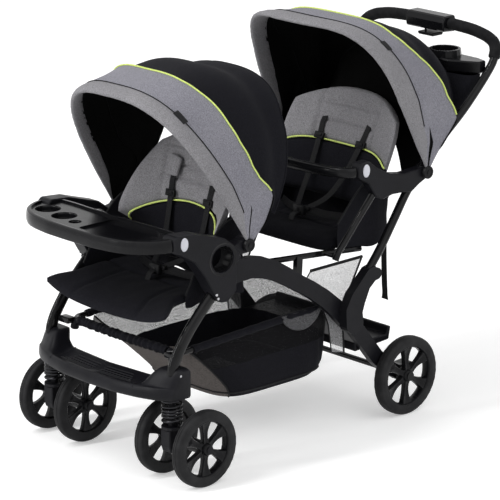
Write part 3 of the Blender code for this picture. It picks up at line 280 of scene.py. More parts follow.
def gripFoam():
    finish, tree, shader, coords = startFinish("gripFoam", (0.010, 0.010, 0.011), 0.88,
                                               Specular_IOR_Level=0.1)
    cells = addNode(tree, "ShaderNodeTexVoronoi", {"Scale": 650.0})
    tree.links.new(coords, cells.inputs["Vector"])
    tree.links.new(addRamp(tree, addNoise(tree, coords, 40, 3),
                           [(0.3, (0.007, 0.007, 0.008)), (0.7, (0.016, 0.016, 0.017))]),
                   shader.inputs["Base Color"])
    addBump(tree, shader, [cells.outputs["Distance"], addNoise(tree, coords, 60, 2)], 0.35, 0.0012)
    return finish


# Woven cloth whose yarns differ in tone, with a slight sheen
def wovenCloth(name, dark, middle, light, roughness=0.92, sheen=0.10, fleck=620, weave=0.35):
    finish, tree, shader, coords = startFinish(name, middle, roughness, Sheen_Weight=sheen,
                                               Sheen_Roughness=0.5, Specular_IOR_Level=0.06)
    along = addNoise(tree, coords, fleck, 3, (1, 1, 0.35))
    across = addNoise(tree, coords, fleck, 3, (0.35, 1, 1))
    yarns = addNode(tree, "ShaderNodeMath", {1: 0.5}, operation="MULTIPLY")
    plus = addNode(tree, "ShaderNodeMath", operation="ADD")
    tree.links.new(along, plus.inputs[0])
    tree.links.new(across, plus.inputs[1])
    tree.links.new(plus.outputs[0], yarns.inputs[0])
    tones = addRamp(tree, yarns.outputs[0], [(0.40, dark), (0.50, middle), (0.60, light)])
    fade = addRamp(tree, addNoise(tree, coords, 7, 2), [(0.3, (0.90, 0.90, 0.91)), (0.7, (1, 1, 1))])
    mix = addNode(tree, "ShaderNodeMix", {0: 1.0}, data_type="RGBA", blend_type="MULTIPLY")
    tree.links.new(tones, mix.inputs[6])
    tree.links.new(fade, mix.inputs[7])
    tree.links.new(mix.outputs[2], shader.inputs["Base Color"])
    addBump(tree, shader, [addBands(tree, coords, 210, "X"), addBands(tree, coords, 210, "Z"),
                           addBands(tree, coords, 210, "Y"), along], weave, 0.0007)
    return finish


# Lime piping cord in a twisted cloth cover
def cordCloth():
    finish, tree, shader, coords = startFinish("limeCord", (0.66, 0.80, 0.20), 0.75, Specular_IOR_Level=0.2)
    tree.links.new(addRamp(tree, addNoise(tree, coords, 300, 2),
                           [(0.3, (0.56, 0.68, 0.14)), (0.65, (0.78, 0.92, 0.30))]),
                   shader.inputs["Base Color"])
    addBump(tree, shader, [addBands(tree, coords, 260, "DIAGONAL")], 0.4, 0.0006)
    return finish


def beltWebbing():
    finish, tree, shader, coords = startFinish("beltWebbing", (0.006, 0.006, 0.007), 0.55,
                                               Specular_IOR_Level=0.2)
    tree.links.new(addRamp(tree, addNoise(tree, coords, 320, 2),
                           [(0.35, (0.004, 0.004, 0.005)), (0.65, (0.010, 0.010, 0.011))]),
                   shader.inputs["Base Color"])
    addBump(tree, shader, [addBands(tree, coords, 330, "Z"), addBands(tree, coords, 330, "DIAGONAL")], 0.5,
            0.0006)
    return finish


# Net cloth: threads round small holes that show what lies behind
def openNet(name, tone, cell, gap, thread):
    finish, tree, shader, coords = startFinish(name, tone, 0.8, Specular_IOR_Level=0.05)
    cells = addNode(tree, "ShaderNodeTexVoronoi", {"Scale": cell, "Randomness": 1.0},
                    feature="DISTANCE_TO_EDGE")
    tree.links.new(coords, cells.inputs["Vector"])
    holes = addNode(tree, "ShaderNodeMapRange", {"From Min": thread, "From Max": thread + 0.05,
                                                 "To Min": 1.0, "To Max": gap})
    tree.links.new(cells.outputs["Distance"], holes.inputs["Value"])
    tree.links.new(holes.outputs[0], shader.inputs["Alpha"])
    tree.links.new(addRamp(tree, addNoise(tree, coords, 200, 2),
                           [(0.3, [c * 0.8 for c in tone]), (0.7, [c * 1.2 for c in tone])]),
                   shader.inputs["Base Color"])
    return finish


finishes = {}


def makeFinishes():
    finishes.update({
        "enamel": tubeEnamel(),
        "plastic": mouldedPlastic("blackPlastic", (0.004, 0.004, 0.005), 0.34, 0.02, 0.10, 0.12),
        "softPlastic": mouldedPlastic("satinPlastic", (0.006, 0.006, 0.008), 0.40, 0.02, 0.2, 0.11),
        "wheelPlastic": mouldedPlastic("wheelPlastic", (0.004, 0.004, 0.005), 0.28, 0.02, 0.1, 0.14),
        "glossPlastic": mouldedPlastic("glossBlackPlastic", (0.004, 0.004, 0.005), 0.20, 0.02, 0.05, 0.15),
        "silver": mouldedPlastic("silverButton", (0.60, 0.61, 0.66), 0.38, 0.1, 0.05, 0.5),
        "tyre": tyreRubber(),
        "steel": bareMetal("steelRivet", (0.55, 0.55, 0.57), 0.28),
        "blackSteel": bareMetal("blackSteel", (0.030, 0.030, 0.033), 0.32),
        "foam": gripFoam(),
        "grey": wovenCloth("greyHeather", (0.168, 0.166, 0.190), (0.245, 0.242, 0.276),
                           (0.335, 0.331, 0.371)),
        "greyPad": wovenCloth("greyHeatherPad", (0.180, 0.176, 0.186), (0.255, 0.250, 0.262),
                              (0.340, 0.335, 0.350)),
        "black": wovenCloth("blackCloth", (0.006, 0.006, 0.008), (0.009, 0.009, 0.012), (0.014, 0.014, 0.018),
                            0.85, 0.02, 620, 0.25),
        "lining": wovenCloth("blackLining", (0.002, 0.002, 0.002), (0.003, 0.003, 0.003),
                             (0.005, 0.005, 0.005), 0.95, 0.0, 620, 0.2),
        "lime": cordCloth(),
        "webbing": beltWebbing(),
        "net": openNet("basketNet", (0.010, 0.010, 0.011), 900.0, 0.10, 0.15),
        "frontNet": openNet("basketFrontNet", (0.150, 0.135, 0.128), 900.0, 0.72, 0.16),
        "windowNet": openNet("windowNet", (0.11, 0.11, 0.115), 420.0, 0.35, 0.10),
        "paleNet": openNet("paleNet", (0.46, 0.46, 0.47), 700.0, 0.22, 0.08),
    })


# Making of meshes
# Turns a bmesh in the stroller's own measure into a piece that rides on a body
def makePiece(name, bm, finish, body, replaced=(), smooth=40, blunt=True):
    # A piece without a body is left free
    bmesh.ops.remove_doubles(bm, verts=bm.verts, dist=1e-6)
    if blunt:
        bmesh.ops.recalc_face_normals(bm, faces=bm.faces)
    bmesh.ops.translate(bm, verts=bm.verts, vec=(0, yShift, 0))
    mesh = bpy.data.meshes.new(name)
    bm.to_mesh(mesh)
    bm.free()
    piece = bpy.data.objects.new(name, mesh)
    bpy.context.scene.collection.objects.link(piece)
    for one in (finish if isinstance(finish, (list, tuple)) else [finish]):
        mesh.materials.append(finishes[one])
    mesh.shade_smooth()
    mesh.set_sharp_from_angle(angle=math.radians(smooth))
    if body:
        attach(piece, body)
    if replaced:
        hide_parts(*replaced)
    return piece


def routeThrough(points, perSpan=6):
    pts = [Vector(p) for p in points]
    route = []
    for i in range(len(pts) - 1):
        before = pts[i - 1] if i > 0 else pts[0] * 2 - pts[1]
        after = pts[i + 2] if i + 2 < len(pts) else pts[-1] * 2 - pts[-2]
        for step in range(perSpan):
            t = step / perSpan
            a = 2 * pts[i]
            b = (pts[i + 1] - before) * t
            c = (2 * before - 5 * pts[i] + 4 * pts[i + 1] - after) * t * t
            d = (3 * pts[i] - before - 3 * pts[i + 1] + after) * t * t * t
            route.append((a + b + c + d) / 2)
    route.append(pts[-1])
    return route


# A tube of oval section along a route; fit(share) scales the section along its length
def addTube(bm, route, halfA, halfB=None, count=16, across=(1, 0, 0), fit=None, square=1.0, ends=True,
            kind=0):
    halfB = halfA if halfB is None else halfB
    route = [Vector(p) for p in route]
    a = Vector(across)
    rings = []
    for i, p in enumerate(route):
        ahead = (route[min(i + 1, len(route) - 1)] - route[max(i - 1, 0)]).normalized()
        a = (a - ahead * a.dot(ahead)).normalized()
        b = ahead.cross(a)
        k = fit(i / (len(route) - 1)) if fit else 1.0
        ring = []
        for n in range(count):
            t = 2 * math.pi * n / count
            c, s = math.cos(t), math.sin(t)
            c, s = math.copysign(abs(c) ** square, c), math.copysign(abs(s) ** square, s)
            ring.append(bm.verts.new(p + a * halfA * k * c + b * halfB * k * s))
        rings.append(ring)
    for one, two in zip(rings, rings[1:]):
        for n in range(count):
            bm.faces.new((one[n], one[(n + 1) % count], two[(n + 1) % count], two[n])).material_index = kind
    if ends:
        bm.faces.new(rings[0][::-1]).material_index = kind
        bm.faces.new(rings[-1]).material_index = kind
    return rings


# A turned shape: profile holds (along, radius) points about the axis X, Y or Z
def addTurned(bm, centre, axis, profile, steps=32, loop=False, kind=0):
    rings = []
    for along, radius in profile:
        ring = []
        for i in range(steps):
            t = 2 * math.pi * i / steps
            u, v = radius * math.cos(t), radius * math.sin(t)
            offset = {"X": (along, u, v), "Y": (u, along, v), "Z": (u, v, along)}[axis]
            ring.append(bm.verts.new(Vector(centre) + Vector(offset)))
        rings.append(ring)
    pairs = list(zip(rings, rings[1:]))
    if loop:
        pairs.append((rings[-1], rings[0]))
    for one, two in pairs:
        for i in range(steps):
            bm.faces.new((one[i], one[(i + 1) % steps], two[(i + 1) % steps], two[i])).material_index = kind
    if not loop:
        bm.faces.new(rings[0][::-1]).material_index = kind
        bm.faces.new(rings[-1]).material_index = kind
    return rings


def addGrid(bm, rows, kind=0, loop=False):
    verts = [[bm.verts.new(p) for p in row] for row in rows]
    count = len(verts[0])
    for one, two in zip(verts, verts[1:]):
        for j in range(count if loop else count - 1):
            bm.faces.new((one[j], one[(j + 1) % count], two[(j + 1) % count], two[j])).material_index = kind
    return verts


# Closes two grids, one over the other, into one skin
def addShell(bm, front, back, kind=0, kindBack=None):
    top = addGrid(bm, front, kind)
    low = addGrid(bm, back, kind if kindBack is None else kindBack)
    rows, cols = len(top), len(top[0])
    edge = [(0, j) for j in range(cols)] + [(i, cols - 1) for i in range(1, rows)]
    edge += [(rows - 1, j) for j in range(cols - 2, -1, -1)] + [(i, 0) for i in range(rows - 2, 0, -1)]
    for (i, j), (k, m) in zip(edge, edge[1:] + edge[:1]):
        bm.faces.new((top[i][j], top[k][m], low[k][m], low[i][j])).material_index = kind


# A small block with rounded edges
def addBlock(bm, low, high, round_=0.002, kind=0, turn=None, about=None):
    made = bmesh.ops.create_cube(bm, size=1.0)["verts"]
    size = Vector(high) - Vector(low)
    middle = (Vector(high) + Vector(low)) / 2
    for v in made:
        v.co = Vector((v.co.x * size.x, v.co.y * size.y, v.co.z * size.z)) + middle
    edges = list({e for v in made for e in v.link_edges})
    new = bmesh.ops.bevel(bm, geom=edges, offset=round_, segments=3, profile=0.5, affect="EDGES")
    verts = {v for f in new["faces"] for v in f.verts} | {v for v in made if v.is_valid}
    for f in {f for v in verts for f in v.link_faces}:
        f.material_index = kind
    if turn is not None:
        pivot = Vector(about) if about is not None else middle
        for v in verts:
            v.co = turn @ (v.co - pivot) + pivot
    return verts


def softNoise(point, scale, seed=0.0):
    return noise.noise(Vector(point) * scale + Vector((seed, seed * 1.7, seed * 0.3)))


# Gives a moulding or tube from the frame its finish and rounds its edges
def dressNode(node, finish, bevel=0.0, segments=3, angle=30):
    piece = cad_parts[node]
    piece.data.materials.clear()
    piece.data.materials.append(finishes[finish])
    if bevel:
        weld = piece.modifiers.new("weld", "WELD")
        weld.merge_threshold = 0.00002
        soft = piece.modifiers.new("bevel", "BEVEL")
        soft.width = bevel
        soft.segments = segments
        soft.limit_method = "ANGLE"
        soft.angle_limit = math.radians(angle)
        soft.harden_normals = True


# Wheels
wheelPlan = {
    "rear": {"radius": 0.118, "width": 0.036, "y": 0.400, "x": 0.2845, "inner": -0.0217, "outer": 0.020},
    "front": {"radius": 0.109, "width": 0.034, "y": -0.436, "stemX": 0.2526, "track": 0.078,
              "inner": -0.0582, "outer": 0.022},
    "spokes": 6, "tyreDepth": 0.026, "barrel": 0.019,
}


def makeWheel(label, x, y, radius, width, way, inner, outer, body, steps=128):
    centre = (x, y, radius)
    half = width / 2
    inside = radius - wheelPlan["tyreDepth"]
    bm = bmesh.new()
    section = [(-0.93, inside - 0.001), (-0.98, inside + 0.004), (-1.0, inside + 0.009),
               (-0.97, radius - 0.012),
               (-0.93, radius - 0.0095), (-0.94, radius - 0.008), (-0.86, radius - 0.0035),
               (-0.66, radius - 0.0008),
               (-0.42, radius), (-0.36, radius - 0.0018), (-0.30, radius), (0.0, radius),
               (0.06, radius - 0.0018)]
    profile = [(a * half, r) for a, r in section]
    profile += [(0.12 * half, radius)] + [(-a * half, r) for a, r in section[::-1] if a <= -0.36]
    rings = addTurned(bm, centre, "X", profile, steps, loop=True)
    for k, ring in enumerate(rings):  # shoulder blocks
        along, r = profile[k]
        if radius - 0.010 < r < radius - 0.003 and abs(along) > 0.8 * half:
            for i, v in enumerate(ring):
                if i % 4 in (0, 1):
                    out = Vector((0, v.co.y - y, v.co.z - radius)).normalized()
                    v.co -= out * 0.0007
    makePiece("tyre" + label, bm, "tyre", body, ("tyre_" + nodeOf(label),), 32)

    bm = bmesh.new()
    seat = inside + 0.0005
    rimHalf = half * 0.90
    ring = [(-rimHalf, seat), (-rimHalf, seat - 0.004), (-rimHalf * 0.86, seat - 0.006),
            (-rimHalf * 0.45, seat - 0.008), (0, seat - 0.0085), (rimHalf * 0.45, seat - 0.008),
            (rimHalf * 0.86, seat - 0.006), (rimHalf, seat - 0.004), (rimHalf, seat)]
    addTurned(bm, centre, "X", ring, steps, loop=True)
    barrel = wheelPlan["barrel"]
    hub = [(inner, 0.009), (inner, barrel * 0.9), (inner + 0.002, barrel), (half * 0.5, barrel),
           (half * 0.72, barrel * 0.94), (outer - 0.004, barrel * 0.86), (outer - 0.001, barrel * 0.74),
           (outer, barrel * 0.55),
           (outer + 0.0025, barrel * 0.45), (outer + 0.003, 0.0015)]
    addTurned(bm, centre, "X", [(way * a, r) for a, r in hub], 32)
    for n in range(wheelPlan["spokes"]):
        angle = 2 * math.pi * n / wheelPlan["spokes"] + math.radians(90)
        out = Vector((0, math.cos(angle), math.sin(angle)))
        beside = Vector((0, -math.sin(angle), math.cos(angle)))
        rows = []
        for i in range(13):
            t = i / 12
            r = barrel * 0.8 + (seat - 0.006 - barrel * 0.8) * t
            wide = 0.0078 + 0.0030 * math.exp(-(t / 0.12) ** 2) + 0.0118 * t ** 2.6
            face = half * (0.62 - 0.30 * math.sin(math.pi * min(t * 1.05, 1)))
            rear = -half * 0.42
            dish = 0.0024 * math.sin(math.pi * t)
            row = []
            for a, b in ((-1, rear), (-1, face - 0.003), (-0.86, face), (-0.45, face - dish),
                         (0, face - dish * 1.4),
                         (0.45, face - dish), (0.86, face), (1, face - 0.003), (1, rear)):
                row.append(Vector(centre) + out * r + beside * (a * wide) + Vector((way * b, 0, 0)))
            rows.append(row)
        addGrid(bm, rows, loop=True)
    makePiece("rim" + label, bm, "wheelPlastic", body, ("rim_" + nodeOf(label),), 35)


# The frame's name for a wheel: RearLeft is rear_left, FrontLeftOuter is front_left_outer
def nodeOf(label):
    return "".join("_" + c.lower() if c.isupper() else c for c in label)[1:]


def makeWheels():
    rear, front = wheelPlan["rear"], wheelPlan["front"]
    for side, s in sides.items():
        makeWheel("Rear" + side.title(), s * rear["x"], rear["y"], rear["radius"], rear["width"], s,
                  rear["inner"], rear["outer"], "rear_wheel_" + side)
        for place, way in (("Outer", 1), ("Inner", -1)):
            sign = s * way
            makeWheel("Front" + side.title() + place, s * front["stemX"] + sign * front["track"], front["y"],
                      front["radius"], front["width"], sign, front["inner"], front["outer"],
                      "front_wheel_" + side + "_" + place.lower(), 120)


# Sprung casters
springPlan = {"x": 0.2526, "y": -0.484, "low": 0.1683, "high": 0.2477, "radius": 0.0265, "wire": 0.0037,
              "turns": 6, "travel": 0.012}


def makeSprings():
    for side, s in sides.items():
        plan = springPlan
        points = []
        steps = plan["turns"] * 20
        for i in range(steps + 1):
            t = i / steps
            squeeze = t + 0.055 * math.sin(2 * math.pi * t)
            z = plan["low"] + plan["wire"] + (plan["high"] - plan["low"] - 2 * plan["wire"]) * squeeze
            a = 2 * math.pi * plan["turns"] * t
            points.append((s * plan["x"] + plan["radius"] * math.cos(a),
                           plan["y"] + plan["radius"] * math.sin(a), z))
        bm = bmesh.new()
        addTube(bm, points, plan["wire"], count=8, across=(0, 0, 1))
        spring = makePiece("casterSpring" + side.title(), bm, "blackSteel", "chassis",
                           ("caster_spring_" + side,))
        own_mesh(spring)


# Frame tubes
tubePlan = {"tubeX": 0.2778, "tubeRadius": 0.0125, "legX": 0.2606, "legSide": 0.011, "legFront": 0.018,
            "gripRadius": 0.0175}


def handleRoute(s=1):
    x = tubePlan["tubeX"]
    points = [(x, 0.2235, 0.4405), (x, 0.293, 0.521), (x, 0.350, 0.600), (x, 0.405, 0.677),
              (x, 0.475, 0.750), (x, 0.552, 0.813), (x, 0.632, 0.875), (x, 0.700, 0.9375),
              (x, 0.745, 0.985), (x - 0.001, 0.762, 1.010), (x - 0.006, 0.7725, 1.033),
              (x - 0.020, 0.781, 1.050), (x - 0.040, 0.7835, 1.0605), (x - 0.066, 0.785, 1.068),
              (x - 0.130, 0.786, 1.077), (0.0, 0.786, 1.081)]
    return [(s * px, py, pz) for px, py, pz in points]


# Scale of a tube that closes roundly over the given share of its length
def roundedEnds(share):
    def fit(t):
        k = min(min(t, 1 - t) / share, 1.0)
        return math.sqrt(max(1 - (1 - k) ** 2, 0.0)) * 0.98 + 0.02
    return fit


def makeTubes():
    half = handleRoute()
    full = routeThrough(half + [(-x, y, z) for x, y, z in half[-2::-1]], 5)
    bm = bmesh.new()
    addTube(bm, full, tubePlan["tubeRadius"], count=20)
    makePiece("handleTube", bm, "enamel", "rear_frame", ("handle_tube",))

    start = 9
    held = half[start:] + [(-x, y, z) for x, y, z in half[-2:start - 1:-1]]
    route = routeThrough(held, 8)
    bm = bmesh.new()

    def squeezed(t):
        end = min(min(t, 1 - t) / 0.012, 1.0)
        return (0.86 + 0.14 * math.sqrt(max(1 - (1 - end) ** 2, 0))) * (1 + 0.012 * softNoise((t * 20, 0, 0),
                1.0))

    addTube(bm, route, tubePlan["gripRadius"], count=22, fit=squeezed)
    makePiece("handleGrip", bm, "foam", "rear_frame", ("handle_grip",))

    for side, s in sides.items():
        x = s * tubePlan["legX"]
        points = [(x, -0.4875, 0.3145), (x, -0.484, 0.336), (x, -0.469, 0.369), (x, -0.436, 0.416),
                  (x, -0.402, 0.454), (x, -0.362, 0.494), (x, -0.336, 0.518)]
        bm = bmesh.new()
        addTube(bm, routeThrough(points, 6), tubePlan["legSide"], tubePlan["legFront"], 24, square=0.86)
        makePiece("frontLeg" + side.title(), bm, "enamel", "chassis", ("front_leg_" + side,))

        x = s * tubePlan["tubeX"]
        stub = [(x, 0.114, 0.523), (x, 0.124, 0.542), (x, 0.142, 0.562), (x, 0.200, 0.624), (x, 0.262, 0.690)]
        bm = bmesh.new()
        addTube(bm, routeThrough(stub, 6), tubePlan["tubeRadius"] * 0.8, count=16)
        makePiece("seatTube" + side.title(), bm, "enamel", "rear_frame", ("seat_tube_" + side,))

        bm = bmesh.new()
        for y, z in ((-0.3505, 0.520), (-0.345, 0.508)):  # rivets through the top of the leg
            addTurned(bm, (s * 0.290, y, z), "X", [(s * -0.002, 0.004), (s * 0.0008, 0.0038),
                                                   (s * 0.002, 0.002), (s * 0.0022, 0.0004)], 14)
        addTurned(bm, (s * 0.2865, -0.481, 0.316), "X",
                  [(s * -0.004, 0.0042), (s * 0.0008, 0.004), (s * 0.002, 0.0022), (s * 0.0022, 0.0004)], 14)
        makePiece("legRivets" + side.title(), bm, "steel", "chassis")


# Bevelled rings in the round openings of the front hubs
hubRingPlan = {"centre": (-0.328, 0.617), "half": (0.041, 0.038), "face": 0.290, "inner": 0.2402,
               "reach": 0.0085}


def makeHubRings():
    plan = hubRingPlan
    y, z = plan["centre"]
    for side, s in sides.items():
        section = [(plan["inner"], -0.0022), (plan["face"] - 0.010, -0.0022), (plan["face"] - 0.004, -0.0004),
                   (plan["face"] - 0.0004, 0.0040), (plan["face"] + 0.0012, 0.0066),
                   (plan["face"] + 0.0012, 0.0082),
                   (plan["face"] - 0.0003, plan["reach"] + 0.0010), (plan["face"] - 0.0012, 0.0060),
                   (plan["face"] - 0.0060, 0.0012), (plan["inner"] + 0.001, 0.0004)]
        bm = bmesh.new()
        rings = []
        for x, grow in section:
            rings.append([Vector((s * x, y + (plan["half"][0] + grow) * math.cos(t),
                                  z + (plan["half"][1] + grow) * math.sin(t)))
                          for t in (2 * math.pi * i / 72 for i in range(72))])
        addGrid(bm, rings + [rings[0]], loop=True)
        makePiece("hubRing" + side.title(), bm, "glossPlastic", "chassis")


# Mouldings that keep the frame's shape
def dressMouldings():
    for side in sides:
        dressNode("front_hub_" + side, "softPlastic", 0.0035)
        dressNode("arch_rail_" + side, "softPlastic", 0.0045)
        dressNode("rear_upright_" + side, "softPlastic", 0.003)
        dressNode("rear_armrest_" + side, "softPlastic", 0.003)
        dressNode("caster_stem_" + side, "softPlastic", 0.0012, 2)
        dressNode("caster_fork_" + side, "softPlastic", 0.0012, 2)
        dressNode("brake_pedal_" + side, "plastic", 0.003)
        dressNode("seat_rail_" + side, "enamel")
    dressNode("handle_block", "glossPlastic", 0.005, 4)
    dressNode("fold_trigger", "plastic", 0.0015)
    dressNode("standing_platform", "softPlastic", 0.002)
    dressNode("rear_axle", "enamel", 0.001)
    dressNode("parent_tray", "glossPlastic", 0.0025)


# Grab bar
def makeGrabBar():
    endX, startY, z = 0.275, 0.1894, 0.766
    half = [(endX, startY, z), (endX - 0.003, startY - 0.012, z), (0.262, 0.166, z), (0.238, 0.153, z),
            (0.200, 0.142, z), (0.120, 0.135, z), (0.0, 0.132, z)]
    route = routeThrough(half + [(-x, y, pz) for x, y, pz in half[-2::-1]], 6)
    bm = bmesh.new()
    addTube(bm, route, 0.0155, 0.0115, 24, across=(0, 0, 1), square=0.85)
    makePiece("grabBar", bm, "glossPlastic", "bar", ("grab_bar",))


# Oval push buttons
buttonPlan = {"half": (0.013, 0.019), "proud": 0.003, "tray": (-0.468, 0.686), "trayFace": 0.290,
              "armrest": (0.219, 0.769), "armrestFace": 0.2938}


def makeButtons():
    for side, s in sides.items():
        for kind, node in (("tray", "tray_button_"), ("armrest", "armrest_button_")):
            y, z = buttonPlan[kind]
            face = buttonPlan[kind + "Face"]
            bm = bmesh.new()
            rings = []
            for out, k in ((-0.008, 1.0), (0.0010, 1.0), (0.0022, 0.96), (0.0030, 0.86), (0.0034, 0.6),
                           (0.0035, 0.25)):
                rings.append([Vector((s * (face + out), y + buttonPlan["half"][0] * k * math.cos(t),
                                      z + buttonPlan["half"][1] * k * math.sin(t)))
                              for t in (2 * math.pi * i / 40 for i in range(40))])
            grid = addGrid(bm, rings, loop=True)
            bm.faces.new(grid[0][::-1])
            bm.faces.new(grid[-1])
            makePiece(kind + "Button" + side.title(), bm, "silver", node + "body_" + side,
                      (node + side,), 50)


# Hoods
hoodPlan = {
    "front": {"pivot": (-0.225, 0.636), "half": 0.2845, "power": 2.9, "body": "front_hood",
              "rearBody": "front_hood",
              "crown": [(-10, 0.470), (60, 0.484), (80, 0.486), (95, 0.480), (106, 0.480), (114, 0.488),
                        (121, 0.499), (124, 0.502)],
              "rim": [(0, 122.5), (0.5, 122), (1, 121.5)], "wide": 1.0,
              "seam": [(0, 104), (0.20, 102.8), (0.34, 101), (0.46, 98.4), (0.58, 96), (0.69, 91.9),
                       (0.80, 83.9),
                       (0.85, 74), (0.868, 54), (0.89, 50.2), (0.93, 45.6), (0.96, 39.2), (1, 36)],
              "rear": [(0, 67), (0.50, 61), (0.70, 52), (0.80, 46), (0.87, 41), (1, 20)],
              "panelHalf": 0.2785, "dip": 0.76, "rearStart": 5.0, "tag": 0.425, "pipingEnd": 0.872,
              "rearCrown": [(-10, 0.465), (45, 0.468), (67, 0.474), (85, 0.466), (97, 0.464), (106, 0.474)]},
    "rear": {"pivot": (0.463, 0.723), "half": 0.3020, "power": 4.0, "body": "rear_hood",
             "rearBody": "rear_frame",
             "crown": [(20, 0.405), (80, 0.415), (97, 0.431), (110, 0.466), (116, 0.491), (121, 0.515)],
             "rim": [(0, 120.5), (0.25, 118), (0.5, 116.3), (0.7, 115.3), (0.84, 115.8), (1, 117)],
             "wide": 1.45,
             "seam": [(0, 99), (0.15, 99.6), (0.34, 99.1), (0.48, 95.5), (0.58, 91), (0.68, 82.5),
                      (0.74, 75.5), (0.81, 68.4),
                      (0.87, 48.5), (0.92, 48.5), (0.96, 50.4), (1, 54)],
             "rear": [(0, 62), (0.50, 54), (0.80, 38), (1, 24)],
             "panelHalf": 0.2668, "dip": 0.50, "rearStart": 9.0, "tag": 0.455, "pipingEnd": 0.868,
             "rearCrown": [(20, 0.24), (60, 0.350), (84, 0.408), (97, 0.424), (110, 0.450)]},
}


# Value of a table at u, eased round its corners
def readTable(table, u, soft=0.03):
    xs, ys = [p[0] for p in table], [p[1] for p in table]
    width = soft * (xs[-1] - xs[0])
    return sum(np.interp(u + k * width, xs, ys) for k in (-1, -0.5, 0, 0.5, 1)) / 5


# Shares u from pivot to pivot that are evenly spaced along the hoop, with the side of each
def evenly(plan, half, height, count):
    fine = [(math.cos(math.radians(90 * (1 - u))) ** (2 / plan["power"]) * half if u > 0 else 0.0,
             math.sin(math.radians(90 * (1 - u))) ** (2 / plan["power"]) * height, u)
            for u in [i / 2000 for i in range(2001)]]
    run = [0.0]
    for p, q in zip(fine, fine[1:]):
        run.append(run[-1] + math.hypot(q[0] - p[0], q[1] - p[1]))
    total = run[-1]
    places = []
    for j in range(count + 1):
        s = 2 * j / count - 1
        u = float(np.interp(abs(s) * total, run, [f[2] for f in fine]))
        places.append((math.copysign(1.0, s), min(u, 0.9996)))
    return places


def hoodPoint(plan, way, u, angle, out=0.0, half=None, crown=None):
    half = plan["half"] if half is None else half
    lean = math.radians(90 * (1 - u))
    spread = math.cos(lean) ** (2 / plan["power"]) if u > 1e-6 else 0.0
    rise = math.sin(lean) ** (2 / plan["power"])
    height = readTable(plan["crown"] if crown is None else crown, angle)
    a = math.radians(angle)
    r = (height + out) * rise
    return Vector((way * (half + out) * spread, plan["pivot"][0] + r * math.cos(a),
                   plan["pivot"][1] + r * math.sin(a)))


def hoodRadius(plan, u):
    return 0.48 * math.sin(math.radians(90 * (1 - u))) ** (2 / plan["power"])


